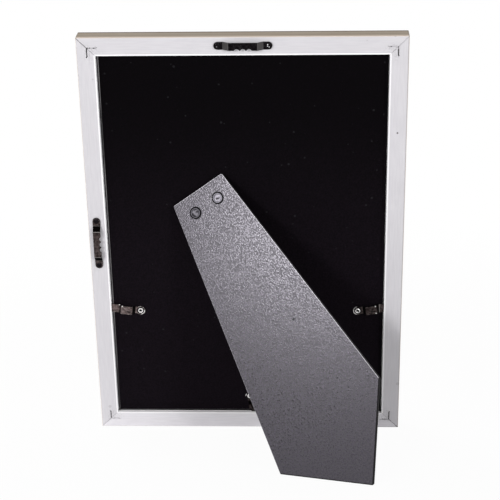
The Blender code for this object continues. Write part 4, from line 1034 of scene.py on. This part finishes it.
# %% Floor and world
FLOOR_HALF, FLOOR_GAP = 30.0, 0.0001
SQUARE = [(-1, -1), (1, -1), (1, 1), (-1, 1)]
SHADOW_REACH, SHADOWED_WHITE = (0.35, 0.90), 0.96
WHITE, FLOOR_PAINT = (1, 1, 1, 1), (0.88, 0.88, 0.88, 1)
WORLD_FILL = 0.435


def seen_directly(tree):
    """1 for what the camera, a mirror or glass sees, and 0 for light that only fills."""
    path = add_node(tree, "ShaderNodeLightPath").outputs
    mirrored = larger(tree, path["Is Glossy Ray"], path["Is Transmission Ray"])
    return larger(tree, path["Is Camera Ray"], mirrored)


floor_mesh = bpy.data.meshes.new("studio_floor")
corners = [(x * FLOOR_HALF, y * FLOOR_HALF, -FLOOR_GAP) for x, y in SQUARE]
floor_mesh.from_pydata(corners, [], [(0, 1, 2, 3)])
floor = bpy.data.objects.new("studio_floor", floor_mesh)
bpy.context.scene.collection.objects.link(floor)

floor_paint = bpy.data.materials.new("studio_floor_paint")
floor_paint.use_nodes = True
tree = floor_paint.node_tree
tree.nodes.clear()
matt_white = add_node(tree, "ShaderNodeBsdfDiffuse", {"Color": FLOOR_PAINT}).outputs[0]
glow = add_node(tree, "ShaderNodeEmission", {"Color": WHITE, "Strength": 1.0}).outputs[0]
spot = {0: add_node(tree, "ShaderNodeTexCoord").outputs["Object"]}
far = add_node(tree, "ShaderNodeVectorMath", spot, operation="LENGTH").outputs["Value"]
whiteness = ramp(tree, far, *SHADOW_REACH, SHADOWED_WHITE, 1.0)
share = times(tree, seen_directly(tree), whiteness)
mixed = add_node(tree, "ShaderNodeMixShader", {0: share, 1: matt_white, 2: glow})
add_node(tree, "ShaderNodeOutputMaterial", {"Surface": mixed.outputs[0]})
floor_mesh.materials.append(floor_paint)

world = bpy.data.worlds.new("studio")
world.use_nodes = True
bpy.context.scene.world = world
tree = world.node_tree
tree.nodes.clear()
fill = add_node(tree, "ShaderNodeBackground", {"Color": WHITE, "Strength": WORLD_FILL}).outputs[0]
white = add_node(tree, "ShaderNodeBackground", {"Color": WHITE, "Strength": 1.0}).outputs[0]
mixed = add_node(tree, "ShaderNodeMixShader", {0: seen_directly(tree), 1: fill, 2: white})
add_node(tree, "ShaderNodeOutputWorld", {"Surface": mixed.outputs[0]})
print("floor and world made")

# %% [markdown]
# The main lamp is large and soft. It stands behind the frame on the left, so the top of the leg
# mirrors it and the foot doesn't. A weaker lamp on the right evens out the rails, and a third
# stands in front, for views of the side that is on show.

# %% Lamps
MIDDLE = Vector((0, 0, 0.16))


def lamp_place(azimuth, elevation, distance):
    """A place round the middle of the frame. Azimuth 0 is behind it, by the camera, and 90 to its left."""
    a, e = math.radians(azimuth), math.radians(elevation)
    away = Vector((-math.sin(a) * math.cos(e), -math.cos(a) * math.cos(e), math.sin(e)))
    return away * distance + MIDDLE


def soft_lamp(name, place, width, height, power):
    """A rectangular lamp that looks at the middle of the frame and isn't seen by the camera."""
    data = bpy.data.lights.new(name, "AREA")
    data.shape = "RECTANGLE"
    data.size, data.size_y, data.energy = width, height, power
    lamp = bpy.data.objects.new(name, data)
    bpy.context.scene.collection.objects.link(lamp)
    lamp.location = place
    lamp.rotation_euler = (MIDDLE - place).to_track_quat("-Z", "Y").to_euler()
    lamp.visible_camera = False


soft_lamp("key_lamp", lamp_place(29.5, 12, 3.0), width=0.60, height=0.56, power=38)
soft_lamp("side_lamp", lamp_place(-38, 15, 3.0), width=0.65, height=0.65, power=23)
soft_lamp("front_lamp", lamp_place(135, 25, 1.6), width=0.9, height=0.9, power=12)
bpy.context.scene.view_settings.view_transform = "Standard"
